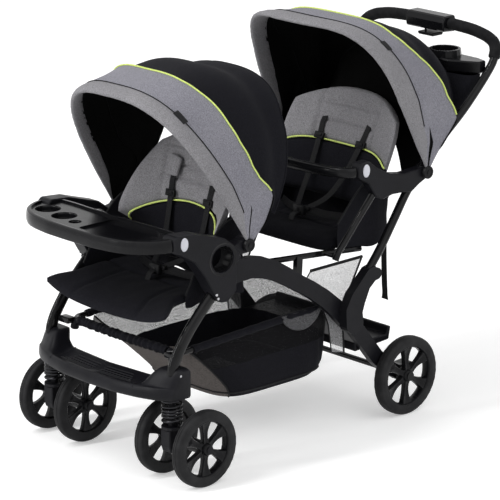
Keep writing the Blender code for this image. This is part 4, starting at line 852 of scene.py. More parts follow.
def makeHood(name):
    plan = hoodPlan[name]
    seed = {"front": 3.0, "rear": 8.0}[name]
    title = name + "Hood"
    nodes = {"front": ("front_canopy", "front_canopy_rear"),
             "rear": ("rear_canopy", "rear_canopy_rear")}[name]
    places = evenly(plan, plan["half"], 0.48, 120)

    # Slack of the cloth between its hoops, with creases that gather towards the pivots
    def billow(way, u, t, angle, deep):
        calm = math.sin(math.pi * min(max(t, 0), 1))
        crease = 0.0022 * max(0.0, min(u - 0.55, (1 - u) * 3)) / 0.45 * math.sin(angle * 0.32 + way * u * 9
                + seed) * calm
        wave = 0.0030 * softNoise((way * u * 3.2, angle * 0.045, seed), 1.0) * calm
        return -deep * calm + crease + wave

    # Padded rim: a soft roll from the lining, round the opening edge, to the rim seam
    roll = [(0.034, -0.0120), (0.020, -0.0140), (0.009, -0.0140), (0.001, -0.0125), (-0.0025, -0.009),
            (-0.002, -0.004),
            (0.003, 0.0004), (0.012, 0.0026), (0.024, 0.0030), (0.036, 0.0016), (0.046, -0.0008),
            (0.050, -0.0032),
            (0.045, -0.006), (0.040, -0.008), (0.036, -0.010)]
    bm = bmesh.new()
    rows = []
    for way, u in places:
        share = min(max((1.0 - u) / 0.16, 0.0), 1.0) ** 0.6
        base = readTable(plan["rim"], u)
        r = max(hoodRadius(plan, u), 0.10)
        row = []
        for along, out in roll:
            pucker = 0.0016 * softNoise((way * u * 40, along * 120, seed),
                                        1.0) * (1 if along < 0.036 else 0.4)
            angle = base - math.degrees(along * plan["wide"] * (0.45 + 0.55 * share) / r)
            row.append(hoodPoint(plan, way, u, angle, out * (0.30 + 0.70 * share) + pucker))
        rows.append(row)
    addGrid(bm, rows, loop=True)
    rim = makePiece(title + "Rim", bm, "greyPad", plan["body"], (), 70)

    # Front panel from the rim seam to the piping, grey outside and black inside
    bm = bmesh.new()
    outer, inner = [], []
    for i in range(25):
        t = i / 24
        lineOut, lineIn = [], []
        for way, u in places:
            r = max(hoodRadius(plan, u), 0.10)
            first = readTable(plan["rim"], u) - math.degrees(0.044 * plan["wide"] / r) * (0.5
                    + 0.5 * min((1 - u) / 0.16, 1))
            last = readTable(plan["seam"], u, 0.012)
            first = max(first, last + 0.5)
            angle = first + (last - first) * t
            out = billow(way, u, t, angle, 0.003) - 0.0015 * math.exp(-(t / 0.05) ** 2)
            lineOut.append(hoodPoint(plan, way, u, angle, out))
            lineIn.append(hoodPoint(plan, way, u, angle, out - 0.0022))
        outer.append(lineOut)
        inner.append(lineIn)
    addShell(bm, outer, inner, 0, 1)
    panel = makePiece(title + "Panel", bm, ("grey", "lining"), plan["body"], (nodes[0],), 60)
    declareCloth(outer)

    # Lining band inside the rim, and piping over the seam
    bm = bmesh.new()
    rows = []
    for i in range(7):
        t = i / 6
        row = []
        for way, u in places:
            share = min(max((1.0 - u) / 0.16, 0.0), 1.0)
            r = max(hoodRadius(plan, u), 0.10)
            first = readTable(plan["rim"], u) - math.degrees(0.030 * plan["wide"] * (0.45 + 0.55 * share) / r)
            last = first - math.degrees(0.05 / r)
            row.append(hoodPoint(plan, way, u, first + (last - first) * t,
                                 (-0.0125 + 0.009 * t) * (0.3 + 0.7 * share)))
        rows.append(row)
    addGrid(bm, rows)
    band = makePiece(title + "LiningBand", bm, "lining", plan["body"], (), 60)
    declareCloth(rows)

    bm = bmesh.new()
    route = []
    for way, u in evenly(plan, plan["half"], 0.48, 160):
        if u < plan["pipingEnd"]:
            route.append(hoodPoint(plan, way, u, readTable(plan["seam"], u, 0.012) + 0.3, 0.0016))
    addTube(bm, route, 0.0024, count=8, across=(0, 0, 1))
    makePiece(title + "Piping", bm, "lime", plan["body"])

    # Dark stitched line where the rim is sewn on, and the edge below the piping's ends
    bm = bmesh.new()
    route = []
    for way, u in evenly(plan, plan["half"], 0.48, 160):
        share = min(max((1.0 - u) / 0.16, 0.0), 1.0) ** 0.6
        r = max(hoodRadius(plan, u), 0.10)
        angle = readTable(plan["rim"], u) - math.degrees(0.0465 * plan["wide"] * (0.45 + 0.55 * share) / r)
        if u < 0.94:
            route.append(hoodPoint(plan, way, u, angle, 0.0006))
    addTube(bm, route, 0.0013, count=6, across=(0, 0, 1))
    for way in (-1, 1):
        edge = []
        for k in range(13):
            u = plan["pipingEnd"] + 0.004 + (0.975 - plan["pipingEnd"]) * k / 12
            edge.append(hoodPoint(plan, way, u, readTable(plan["seam"], u, 0.012) + 0.3, 0.0010))
        addTube(bm, edge, 0.0022, count=8, across=(0, 0, 1), fit=roundedEnds(0.05))
    makePiece(title + "Seams", bm, "lining", plan["body"])

    # Black rear panel
    half = plan["panelHalf"]
    crown = plan["rearCrown"]
    bm = bmesh.new()
    outer, inner = [], []
    for i in range(29):
        t = i / 28
        lineOut, lineIn = [], []
        for way, u in evenly(plan, half, 0.46, 110):
            u = u * 10 / 11
            first = readTable(plan["seam"], u, 0.012) + plan["rearStart"]
            last = readTable(plan["rear"], u)
            angle = first + (last - first) * t
            dip = plan["dip"]
            deep = (0.013 * math.exp(-((t - dip) / 0.13) ** 2)
                    - 0.004 * math.exp(-((t - dip + 0.32) / 0.16) ** 2)) * (1 - u * u)
            out = billow(way, u, t, angle, 0.0) - deep
            near = min(t / 0.30, 1.0)  # the first part lies close under the front panel
            reach = half + (plan["half"] - 0.006 - half) * (1 - near * near * (3 - 2 * near)) * (1 - u ** 12)
            lineOut.append(hoodPoint(plan, way, u, angle, out, reach, crown))
            lineIn.append(hoodPoint(plan, way, u, angle, out - 0.002, reach, crown))
        outer.append(lineOut)
        inner.append(lineIn)
    addShell(bm, outer, inner, 0, 1)
    rearPanel = makePiece(title + "RearPanel", bm, ("black", "lining"), plan["rearBody"],
                          (nodes[1],), 60)
    declareCloth(outer)
    bm = bmesh.new()
    addTube(bm, outer[-1], 0.0026, count=8, across=(0, 1, 0))
    makePiece(title + "RearBinding", bm, "black", plan["rearBody"])
    if name == "rear":
        makeCurtain(outer[-1])

    # Pivot discs and the plain tag on the rim seam
    bm = bmesh.new()
    y, z = plan["pivot"]
    for s in sides.values():
        x = s * plan["half"]
        profile = [(s * a, r) for a, r in ((-0.004, 0.019), (0.003, 0.019), (0.005, 0.0175), (0.0055, 0.013),
                                           (0.0045, 0.0125), (0.0045, 0.007), (0.006, 0.0065),
                                           (0.0063, 0.001))]
        addTurned(bm, (x, y, z), "X", profile, 32)
    makePiece(title + "PivotDiscs", bm, "plastic", plan["body"])
    bm = bmesh.new()
    u = plan["tag"]
    r = hoodRadius(plan, u)
    front, back = [], []
    for i in range(5):
        lineA, lineB = [], []
        for j in range(9):
            uu = u + (j / 8 - 0.5) * 0.090
            angle = readTable(plan["rim"], uu) - math.degrees((0.040 * plan["wide"] + 0.016 * i / 4) / r)
            lineA.append(hoodPoint(plan, 1, uu, angle, 0.0034))
            lineB.append(hoodPoint(plan, 1, uu, angle, 0.0010))
        front.append(lineA)
        back.append(lineB)
    addShell(bm, front, back)
    makePiece(title + "Tag", bm, "webbing", plan["body"])


# Black cloth behind the rear child, from the back of the hood to the top of the seat back
curtainPlan = {"low": 0.846, "y": 0.497, "half": 0.246}


def makeCurtain(upper):
    plan = curtainPlan
    count = len(upper)
    rows = []
    for k in range(17):
        t = k / 16
        row = []
        for i, p in enumerate(upper):
            s = 2 * i / (count - 1) - 1
            foot = Vector((s * plan["half"], plan["y"] - 0.075 * abs(s) ** 2.6,
                           plan["low"] - 0.20 * abs(s) ** 2.6))
            slack = 0.006 * math.sin(math.pi * t) * softNoise((s * 5, t * 3, 9.0), 1.0)
            row.append(p.lerp(foot, t) + Vector((0, slack + 0.012 * math.sin(math.pi * t) * (1 - abs(s)), 0)))
        rows.append(row)
    bm = bmesh.new()
    addGrid(bm, rows)
    curtain = makePiece("rearHoodCurtain", bm, "lining", None, (), 70)
    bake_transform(curtain)
    declareCloth(rows)


# Works out a cloth panel's flat size, the middle row by the middle column, made longer
# in steps of 5 per cent where the mesh holds more cloth than that; the size is not kept
def declareCloth(rows):
    middle = rows[len(rows) // 2]
    wide = sum((q - p).length for p, q in zip(middle, middle[1:]))
    column = [row[len(row) // 2] for row in rows]
    deep = sum((q - p).length for p, q in zip(column, column[1:]))
    area = 0.0
    for one, two in zip(rows, rows[1:]):
        for a, b, c, d in zip(one, one[1:], two[1:], two):
            area += ((b - a).cross(c - a).length + (c - a).cross(d - a).length) / 2
    while area > wide * deep:
        deep *= 1.05


# Seats
seatPlan = {"halfWidth": 0.205, "rearHalf": 0.222, "frontBack": (-0.185, 0.557), "rearBack": (0.370, 0.628),
            "panelHalf": 0.118, "frontPiping": 0.690, "rearPiping": 0.757}


# Front face of the front seat back: s runs from side to side, z is the height
def frontBackPoint(s, z, out=0.0):
    lowY, lowZ = seatPlan["frontBack"]
    up = max(0.0, (z - 0.690) / 0.20)
    width = seatPlan["halfWidth"] * (1 - 0.42 * min(up, 1.2) ** 2.1)
    reach = min(max((z - 0.585) / 0.06, 0.0), 1.0) * (1 - 0.95 * min(max((z - 0.665) / 0.19, 0.0),
                                                                     1.0) ** 1.2)
    wing = 0.105 * abs(s) ** 3 * reach
    y = lowY - 0.002 + (z - lowZ) * 0.18 - wing
    slope = 0.315 * s * abs(s) * reach
    normal = Vector((-slope, -1.0, 0.18)).normalized()
    return Vector((s * width, y, z)) + normal * out


def rearBackPoint(s, z, out=0.0):
    lowY, lowZ = seatPlan["rearBack"]
    up = max(0.0, (z - 0.79) / 0.12)
    width = seatPlan["rearHalf"] * (1 - 0.16 * min(up, 1.0) ** 2)
    y = lowY - 0.002 + (z - lowZ) * 0.45 - 0.045 * abs(s) ** 3
    normal = Vector((-0.135 * s * abs(s), -1.0, 0.45)).normalized()
    return Vector((s * width, y, z)) + normal * out


# How far the piping drops below its middle: the front one runs down round the wings
def pipingDrop(name, s):
    if name.startswith("front"):
        return 0.047 * abs(s) ** 1.9 + 0.030 * abs(s) ** 8
    return 0.024 * abs(s) ** 5


# Depth of the stitched channels at a point of a pad
def quilt(x, z, lines):
    deep = 0.0
    for kind, place, low, high in lines:
        off, along = (x - place, z) if kind == "up" else (z - place, x)
        if low - 0.01 < along < high + 0.01:
            deep = max(deep, math.exp(-(off / 0.0045) ** 2))
    return deep


# A stuffed pad on a surface function, crowned, with stitched channels
def makePad(name, surface, low, high, finish, body, replaced=(), thick=0.036, lines=(), columns=64,
            rows=44,
            roundTop=False, seed=0.0, crown=1.0):
    front, back = [], []
    for i in range(rows + 1):
        t = i / rows
        z = low + (high - low) * t
        lineA, lineB = [], []
        for j in range(columns + 1):
            s = 2 * j / columns - 1
            edge = (1 - abs(s) ** 7) * (1 - (abs(2 * t - 1) ** 9 if roundTop else abs(2 * t - 1) ** 14))
            puff = thick * (0.22 + 0.78 * max(edge, 0.0) ** 0.5) * 0.5
            arch = -pipingDrop(name, s)
            level = z + arch * ((1 - t) if roundTop else t)
            if roundTop:
                level -= 0.050 * abs(s) ** 2.6 * t ** 3
            p = surface(s, level)
            puff -= 0.0065 * quilt(p.x, level, lines) * crown
            puff += 0.0022 * softNoise((p.x * 22, p.z * 22, seed), 1.0)
            lineA.append(surface(s, level, puff))
            lineB.append(surface(s, level, -thick * (0.20 + 0.25 * max(edge, 0.0) ** 0.5)))
        front.append(lineA)
        back.append(lineB)
    bm = bmesh.new()
    addShell(bm, front, back)
    pad = makePiece(name, bm, finish, body, replaced, 60)
    return pad


def makeSeats():
    half = seatPlan["panelHalf"]
    lines = [("up", half, 0.60, 0.90), ("up", -half, 0.60, 0.90), ("across", 0.835, -half, half),
             ("across", 0.785, -half, half), ("across", 0.745, -half, half)]
    makePad("frontSeatBackUpper", frontBackPoint, seatPlan["frontPiping"], 0.893, "greyPad",
            "front_back",
            ("front_seat_back",), 0.036, lines, roundTop=True, seed=1.0)
    makePad("frontSeatBackLower", frontBackPoint, 0.521, seatPlan["frontPiping"], "black",
            "front_back",
            (), 0.034, [], rows=20, seed=2.0)
    lines = [("up", half, 0.72, 0.92), ("up", -half, 0.72, 0.92), ("across", 0.86, -half, half),
             ("across", 0.81, -half, half)]
    makePad("rearSeatBackUpper", rearBackPoint, seatPlan["rearPiping"], 0.912, "greyPad",
            "rear_back",
            ("rear_seat_back",), 0.038, lines, roundTop=True, seed=5.0)
    makePad("rearSeatBackLower", rearBackPoint, 0.6135, seatPlan["rearPiping"], "black",
            "rear_back",
            (), 0.034, [], rows=16, seed=6.0)
    for name, surface, z, body in (("frontSeatPiping", frontBackPoint, seatPlan["frontPiping"], "front_back"),
                                   ("rearSeatPiping", rearBackPoint, seatPlan["rearPiping"], "rear_back")):
        bm = bmesh.new()
        route = []
        for j in range(81):
            s = -1 + 2 * j / 80
            edge = max(1 - abs(s) ** 7, 0.0)
            route.append(surface(s, z - pipingDrop(name, s), 0.018 * (0.30 + 0.70 * edge ** 0.5) + 0.0005))
        addTube(bm, route, 0.0026, count=8, across=(0, 0, 1))
        makePiece(name, bm, "lime", body)

    # Seat bottoms: the front one runs out into the leg rest flap
    def frontPan(s, t):
        y = -0.347 - 0.160 * t
        out = max(0.0, (t - 0.45) / 0.55)
        width = 0.206 + 0.044 * out * out * (3 - 2 * out)
        droop = 0.034 * max(t, 0.0) ** 2 * (1 - 0.35 * s * s)
        rise = 0.020 * abs(s) ** 4
        return Vector((s * width, y - 0.008 * max(t, 0) * (1 - s * s), 0.482 - droop + rise))

    def rearPan(s, t):
        return Vector((s * 0.212, 0.270 + 0.110 * t, 0.542 - 0.010 * max(-t, 0) ** 2 + 0.008 * abs(s) ** 4))

    for name, pan, thick, node in (("frontSeatPad", frontPan, 0.036, "front_seat"),
                                   ("rearSeatPad", rearPan, 0.046, "rear_seat")):
        front, back = [], []
        for i in range(45):
            t = 2 * i / 44 - 1
            lineA, lineB = [], []
            for j in range(61):
                s = 2 * j / 60 - 1
                edge = max((1 - abs(s) ** 8) * (1 - abs(t) ** 10), 0.0)
                p = pan(s, t)
                puff = thick * (0.2 + 0.8 * edge ** 0.5) * 0.5 + 0.0028 * softNoise((p.x * 20, p.y * 20, 4.0),
                        1.0)
                puff -= 0.006 * math.exp(-((t + 0.15) / 0.04) ** 2) + 0.005 * math.exp(-((abs(s)
                        - 0.55) / 0.03) ** 2) * (t > -0.1)
                lineA.append(p + Vector((0, 0, puff)))
                lineB.append(p - Vector((0, 0, thick * (0.2 + 0.25 * edge ** 0.5))))
            front.append(lineA)
            back.append(lineB)
        bm = bmesh.new()
        addShell(bm, front, back)
        pad = makePiece(name, bm, "black", "chassis", (node,), 60)


# Harnesses
harnessPlan = {
    "front": {"surface": frontBackPoint, "body": "front_back", "x": (0.083, 0.085, 0.080, 0.072),
              "levels": (0.795, 0.745, 0.700, 0.600), "padLevels": (0.812, 0.752),
              "buckle": (0.0, -0.318, 0.527),
              "waist": (0.150, -0.245, 0.515), "seat": (0.0, -0.350, 0.500), "adjust": 0.703,
              "seatBody": "chassis", "bend": (0.545, 0.650)},
    "rear": {"surface": rearBackPoint, "body": "rear_back", "x": (0.090, 0.092, 0.086, 0.072),
             "levels": (0.838, 0.805, 0.765, 0.680), "padLevels": (0.0, 0.0), "buckle": (0.0, 0.240, 0.592),
             "waist": (0.150, 0.315, 0.585), "seat": (0.0, 0.205, 0.570), "adjust": 0.764,
             "seatBody": "rear_frame", "bend": (0.620, 0.730)},
    "beltWidth": 0.021, "beltThick": 0.0024,
}


def addBelt(bm, points, across=(1, 0, 0), width=None):
    wide = harnessPlan["beltWidth"] if width is None else width
    return addTube(bm, routeThrough(points, 8), wide / 2, harnessPlan["beltThick"] / 2, 12, across=across,
                   square=0.35)


def makeHarness(name):
    plan = harnessPlan[name]
    surface, body = plan["surface"], plan["body"]
    half = seatPlan["halfWidth"] if name == "front" else seatPlan["rearHalf"]

    def onBack(x, z, out):
        return surface(x / half, z, out)

    belts = bmesh.new()
    clips = bmesh.new()
    locks = bmesh.new()
    pads = bmesh.new()
    buckle = Vector(plan["buckle"])
    for s in sides.values():
        top = onBack(s * plan["x"][0], plan["levels"][0], 0.012)
        route = [top]
        for x, z, out in zip(plan["x"][1:], plan["levels"][1:], (0.0205, 0.0235, 0.036)):
            route.append(onBack(s * x, z, out))
        end = buckle + Vector((s * 0.020, 0.010, 0.006))
        route.append(route[-1].lerp(end, 0.55) + Vector((s * 0.010, 0.006, -0.010)))
        route.append(end)
        addBelt(belts, route)
        waist = Vector(plan["waist"])
        waist.x *= s
        addBelt(belts, [waist, waist.lerp(end, 0.5) + Vector((0, 0, -0.006)), end - Vector((0, 0, 0.004))],
                across=(0, 0.5, 1))
        place = onBack(s * plan["x"][2], plan["adjust"], 0.0245)
        lean = Matrix.Rotation(-math.atan(0.18 if name == "front" else 0.45), 3, "X")
        addBlock(clips, place - Vector((0.0185, 0.005, 0.010)), place + Vector((0.0185, 0.004, 0.010)),
                 0.0022, turn=lean)
        addBlock(clips, place - Vector((0.0130, 0.009, 0.004)), place + Vector((0.0130, -0.003, 0.006)),
                 0.0018, turn=lean,
                 about=place)
        addBlock(locks, end - Vector((0.013, 0.007, 0.006)), end + Vector((0.013, 0.006, 0.006)), 0.003)
        if plan["padLevels"][0]:
            high, low = plan["padLevels"]
            line = [onBack(s * 0.084, high + (low - high) * k / 4, 0.0275) for k in range(5)]
            addTube(pads, routeThrough(line, 6), 0.0240, 0.0085, 20, fit=roundedEnds(0.10), square=0.8)
    seat = Vector(plan["seat"])
    addBelt(belts, [seat, seat.lerp(buckle, 0.5) + Vector((0, -0.006, 0.004)), buckle])
    addBlock(locks, buckle - Vector((0.021, 0.009, 0.015)), buckle + Vector((0.021, 0.009, 0.015)), 0.005)
    addTurned(locks, buckle + Vector((0, -0.009, 0.001)), "Y",
              [(0.002, 0.0092), (-0.0012, 0.0088), (-0.0024, 0.0070), (-0.0026, 0.0008)], 24)
    webs = makePiece(name + "HarnessBelts", belts, "webbing", None, (), 50)
    low, high = onBack(0, plan["bend"][0], 0.03), onBack(0, plan["bend"][1], 0.03)
    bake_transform(webs)
    makePiece(name + "HarnessClips", clips, "plastic", body, (), 35)
    makePiece(name + "HarnessBuckle", locks, "plastic", plan["seatBody"], (), 35)
    if plan["padLevels"][0]:
        shoulder = makePiece(name + "HarnessPads", pads, "greyPad", body, (), 60)
    else:
        pads.free()


# Cloth that closes the sides and back of each seat
wellPlan = {
    "front": {"line": [(-0.2165, -0.400), (-0.2165, -0.330), (-0.2165, -0.240), (-0.196, -0.163),
                       (-0.10, -0.158), (0, -0.158)],
              "top": [0.512, 0.625, 0.696, 0.660, 0.540, 0.516], "low": 0.478, "body": "chassis"},
    "rear": {"line": [(-0.2300, 0.170), (-0.2300, 0.260), (-0.2300, 0.345), (-0.206, 0.396), (-0.10, 0.402),
                      (0, 0.402)],
             "top": [0.610, 0.700, 0.735, 0.640, 0.603, 0.603], "low": 0.522, "body": "rear_frame"},
}


def makeWell(name):
    plan = wellPlan[name]
    half = [Vector((x, y, top)) for (x, y), top in zip(plan["line"], plan["top"])]
    line = routeThrough(half + [Vector((-p.x, p.y, p.z)) for p in half[-2::-1]], 10)
    rows = []
    for k in range(13):
        t = k / 12
        row = []
        for i, p in enumerate(line):
            low = plan["low"] + 0.004 * math.sin(i * 0.5)
            z = low + (p.z - low) * t
            slack = 0.004 * math.sin(math.pi * t) * (1 + 0.6 * softNoise((i * 0.09, t * 3, 5.0), 1.0))
            way = Vector((p.x, p.y - (plan["line"][0][1] + plan["line"][-1][1]) / 2, 0)).normalized()
            row.append(Vector((p.x, p.y, z)) - way * slack)
        rows.append(row)
    bm = bmesh.new()
    addGrid(bm, rows)
    area = sum(f.calc_area() for f in bm.faces)
    piece = makePiece(name + "SeatSides", bm, "black", plan["body"], (), 70)
    bm = bmesh.new()
    addTube(bm, rows[-1], 0.0026, count=8, across=(0, 0, 1))
    makePiece(name + "SeatSidesBinding", bm, "webbing", plan["body"])


# Pale nets at the sides, under the rear seat
netPlan = {"x": 0.2155, "front": [(0.0, 0.080, 0.488), (0.25, 0.030, 0.430), (0.45, 0.120, 0.378),
                                  (0.7, 0.150, 0.310), (1.0, 0.163, 0.222)],
           "back": [(0.0, 0.285, 0.490), (0.35, 0.235, 0.400), (0.6, 0.205, 0.330), (1.0, 0.214, 0.210)]}


def makeSideNets():
    for side, s in sides.items():
        rows = []
        for i in range(31):
            t = i / 30
            edges = []
            for table in (netPlan["front"], netPlan["back"]):
                edges.append([readTable([(r[0], r[k]) for r in table], t) for k in (1, 2)])
            row = []
            for j in range(17):
                k = j / 16
                y = edges[0][0] + (edges[1][0] - edges[0][0]) * k
                z = edges[0][1] + (edges[1][1] - edges[0][1]) * k
                row.append(Vector((s * (netPlan["x"] - 0.004 * math.sin(math.pi * t) * math.sin(math.pi * k)),
                                   y, z)))
            rows.append(row)
        bm = bmesh.new()
        addGrid(bm, rows)
        piece = makePiece("sideNet" + side.title(), bm, "paleNet", "chassis", (), 70)
        declareCloth(rows)
        bm = bmesh.new()
        addTube(bm, [row[-1] for row in rows], 0.0030, count=8, across=(1, 0, 0))
        addTube(bm, [row[0] for row in rows], 0.0018, count=8, across=(1, 0, 0))
        addTube(bm, rows[0], 0.0045, count=10, across=(1, 0, 0))
        makePiece("sideNetEdge" + side.title(), bm, "webbing", "chassis")


# Front child tray
trayPlan = {"top": 0.706, "thick": 0.038,
            "outline": [(0.0, -0.636), (0.060, -0.6350), (0.110, -0.632), (0.185, -0.617), (0.240, -0.586),
                        (0.270, -0.548),
                        (0.283, -0.510), (0.2839, -0.478), (0.280, -0.452), (0.262, -0.4455),
                        (0.230, -0.4440), (0.190, -0.443),
                        (0.120, -0.446), (0.0, -0.450)],
            "wells": [(-0.205, -0.535, 0.036, 0.028), (-0.118, -0.548, 0.036, 0.028),
                      (-0.050, -0.566, 0.018, 0.020)],
            "dish": [(0.0, -0.470), (0.0, -0.600), (0.130, -0.596), (0.205, -0.560), (0.222, -0.500),
                     (0.190, -0.466)],
            "hubGap": 0.2397, "hubFront": -0.5049}


# Applies a Boolean with a cutter object, which is then removed
def cutAway(piece, cutter, operation="DIFFERENCE"):
    mod = piece.modifiers.new("cut", "BOOLEAN")
    mod.operation = operation
    mod.solver = "EXACT"
    mod.object = cutter
    bpy.context.view_layer.update()
    shape = bpy.data.meshes.new_from_object(piece.evaluated_get(bpy.context.evaluated_depsgraph_get()))
    piece.modifiers.remove(mod)
    old = piece.data
    piece.data = shape
    bpy.data.meshes.remove(old)
    bpy.data.objects.remove(cutter)


def addPrism(bm, flat, low, high):
    grid = addGrid(bm, [[(x, y, z) for x, y in flat] for z in (low, high)], loop=True)
    bm.faces.new(grid[0][::-1])
    bm.faces.new(grid[-1])


def makeCutter(bm):
    bmesh.ops.recalc_face_normals(bm, faces=bm.faces)
    bmesh.ops.translate(bm, verts=bm.verts, vec=(0, yShift, 0))
    mesh = bpy.data.meshes.new("cutter")
    bm.to_mesh(mesh)
    bm.free()
    cutter = bpy.data.objects.new("cutter", mesh)
    bpy.context.scene.collection.objects.link(cutter)
    return cutter


def makeChildTray():
    plan = trayPlan
    half = plan["outline"]
    loop = [Vector((x, y, 0)) for x, y in half] + [Vector((-x, y, 0)) for x, y in half[-2:0:-1]]
    fine = routeThrough(loop + [loop[0]], 4)[:-1]
    count = len(fine)

    def inset(points, d):
        moved = []
        for i, p in enumerate(points):
            along = (points[(i + 1) % count] - points[i - 1]).normalized()
            moved.append(p + Vector((-along.y, along.x, 0)) * d)
        return moved

    turn = 1 if inset(fine, 0.01)[0].y > fine[0].y else -1
    top, low = plan["top"], plan["top"] - plan["thick"]
    levels = [(0.010, low + 0.002), (0.006, low), (0.002, low + 0.002), (0.0004, low + 0.008),
              (0.0, low + 0.016),
              (0.0008, low + 0.026), (0.0030, top - 0.0035), (0.006, top - 0.0008), (0.009, top)]
    bm = bmesh.new()
    rings = [[Vector((p.x, p.y, z)) for p in inset(fine, turn * d)] for d, z in levels]
    grid = addGrid(bm, rings, loop=True)
    bm.faces.new(grid[0][::-1])
    bm.faces.new(grid[-1])
    tray = makePiece("childTray", bm, "glossPlastic", "tray", ("child_tray",), 30)
    lip = 0.015
    kept = [p for p in inset(fine, turn * lip) if min((p - q).length for q in fine) > lip * 0.985]
    bm = bmesh.new()
    addPrism(bm, [(p.x, p.y) for p in kept], top - 0.006, top + 0.02)
    cutAway(tray, makeCutter(bm))
    for s in sides.values():
        bm = bmesh.new()
        x0, x1 = s * plan["hubGap"], s * 0.32
        flat = [(x0, plan["hubFront"]), (x1, plan["hubFront"]), (x1, -0.40), (x0, -0.40)]
        addPrism(bm, flat, low - 0.02, low + 0.07)
        cutAway(tray, makeCutter(bm))
    for x, y, radius, depth in plan["wells"]:
        bm = bmesh.new()
        addTurned(bm, (x, y, top - 0.007), "Z", [(-depth + 0.007, radius * 0.80),
                                                 (-depth + 0.009, radius * 0.88),
                                                 (-depth + 0.016, radius * 0.93),
                                         (-0.003, radius * 0.97), (0.001, radius * 1.02),
                                         (0.02, radius * 1.1)], 40)
        cutAway(tray, makeCutter(bm))
    bm = bmesh.new()
    rounded = roundCorners([Vector((x, y, 0)) for x, y in plan["dish"]], 0.018)
    addPrism(bm, [(p.x, p.y) for p in rounded], top - 0.012, top + 0.018)
    cutAway(tray, makeCutter(bm))
    soft = tray.modifiers.new("bevel", "BEVEL")
    soft.width = 0.0012
    soft.segments = 2
    soft.limit_method = "ANGLE"
    soft.angle_limit = math.radians(40)


# A closed outline with its corners rounded
def roundCorners(points, radius, steps=5):
    made = []
    count = len(points)
    for i, p in enumerate(points):
        before, after = points[i - 1], points[(i + 1) % count]
        a = p + (before - p).normalized() * min(radius, (before - p).length * 0.45)
        b = p + (after - p).normalized() * min(radius, (after - p).length * 0.45)
        for k in range(steps + 1):
            t = k / steps
            made.append(a * (1 - t) ** 2 + p * 2 * t * (1 - t) + b * t ** 2)
    return made


# Footrest
restPlan = {"front": [(0.0, -0.582), (0.110, -0.578), (0.190, -0.562), (0.250, -0.540), (0.2876, -0.512)],
            "back": [(0.0, -0.486), (0.205, -0.470), (0.222, -0.446), (0.2876, -0.446)],
            "low": 0.248, "top": 0.290, "socketTop": 0.332, "corner": 0.2876}


def restTop(x, share):
    # Height of the tread and of the towers beside it, share running from the front edge to the back
    plan = restPlan
    a = abs(x)
    rise = min(max((a - 0.172) / 0.055, 0.0), 1.0)
    rise = rise * rise * (3 - 2 * rise)
    climb = min(max((share - 0.02) / 0.50, 0.0), 1.0)
    climb = climb * climb * (3 - 2 * climb)
    tread = float(np.interp(share, [0, 0.06, 0.12, 0.20, 0.38, 0.58, 0.78, 0.92, 1],
                            [0.276, 0.2828, 0.2845, 0.2822, 0.2800, 0.2812, 0.2856, 0.2912, 0.2900]))
    tower = 0.2845 + (plan["socketTop"] - 0.2845) * climb
    end = max(0.0, (a - 0.272) / 0.0156) ** 2
    return tread + (max(tower, tread) - tread) * rise - 0.006 * end


def makeFootrest():
    plan = restPlan
    bm = bmesh.new()
    rows = []
    count = 120
    for i in range(count + 1):
        x = -plan["corner"] + 2 * plan["corner"] * i / count
        a = abs(x)
        front = readTable(plan["front"], a, 0.06)
        back = readTable(plan["back"], a, 0.03)
        shy = 0.004 * max(0.0, (a - 0.272) / 0.0156) ** 2
        low = plan["low"]
        depth = back - front
        sect = [(front + 0.008 + shy, low), (front + 0.002 + shy, low + 0.003), (front + shy, low + 0.010),
                (front + 0.0012 + shy, low + 0.020)]
        for share in (0.0, 0.03, 0.06, 0.10, 0.14, 0.20, 0.30, 0.42, 0.55, 0.68, 0.80, 0.90, 0.96):
            sect.append((front + shy + 0.003 + (depth - shy - 0.005) * share,
                         restTop(x, share) - (0.002 if share == 0 else 0)))
        high = restTop(x, 1.0)
        sect += [(back - 0.0006, high - 0.003), (back, high - 0.010), (back, low + 0.006),
                 (back - 0.003, low + 0.001),
                 (back - 0.008, low)]
        rows.append([Vector((x, y, z)) for y, z in sect])
    grid = addGrid(bm, rows, loop=True)
    bm.faces.new(grid[0][::-1])
    bm.faces.new(grid[-1])
    for k in range(5):  # tread ribs
        share = 0.28 + 0.115 * k
        reach = 0.150 - 0.008 * k
        for way in (-1, 1):
            route = []
            for i in range(31):
                x = way * (0.012 + (reach - 0.012) * i / 30)
                front, back = readTable(plan["front"], abs(x), 0.06), readTable(plan["back"], abs(x), 0.03)
                route.append((x, front + 0.003 + (back - front - 0.005) * share, restTop(x, share) + 0.0004))
            addTube(bm, route, 0.0016, 0.0020, 8, across=(0, 1, 0), fit=roundedEnds(0.04))
    for s in sides.values():  # parting line beside each tower
        route = []
        for i in range(25):
            share = i / 24
            x = s * (0.176 - 0.012 * share)
            front, back = readTable(plan["front"], abs(x), 0.06), readTable(plan["back"], abs(x), 0.03)
            route.append((x, front + 0.003 + (back - front - 0.005) * share, restTop(x, share) + 0.0002))
        addTube(bm, route, 0.0009, count=6, across=(1, 0, 0))
    makePiece("footrest", bm, "softPlastic", "chassis", ("footrest",), 50)


# Basket
basketPlan = {"railX": 0.226, "frontY": -0.437, "frontZ": 0.356, "frameZ": 0.372, "endY": 0.120,
              "tube": 0.008,
              "floorZ": 0.152, "netAbove": 0.262, "wallRun": 2.1}


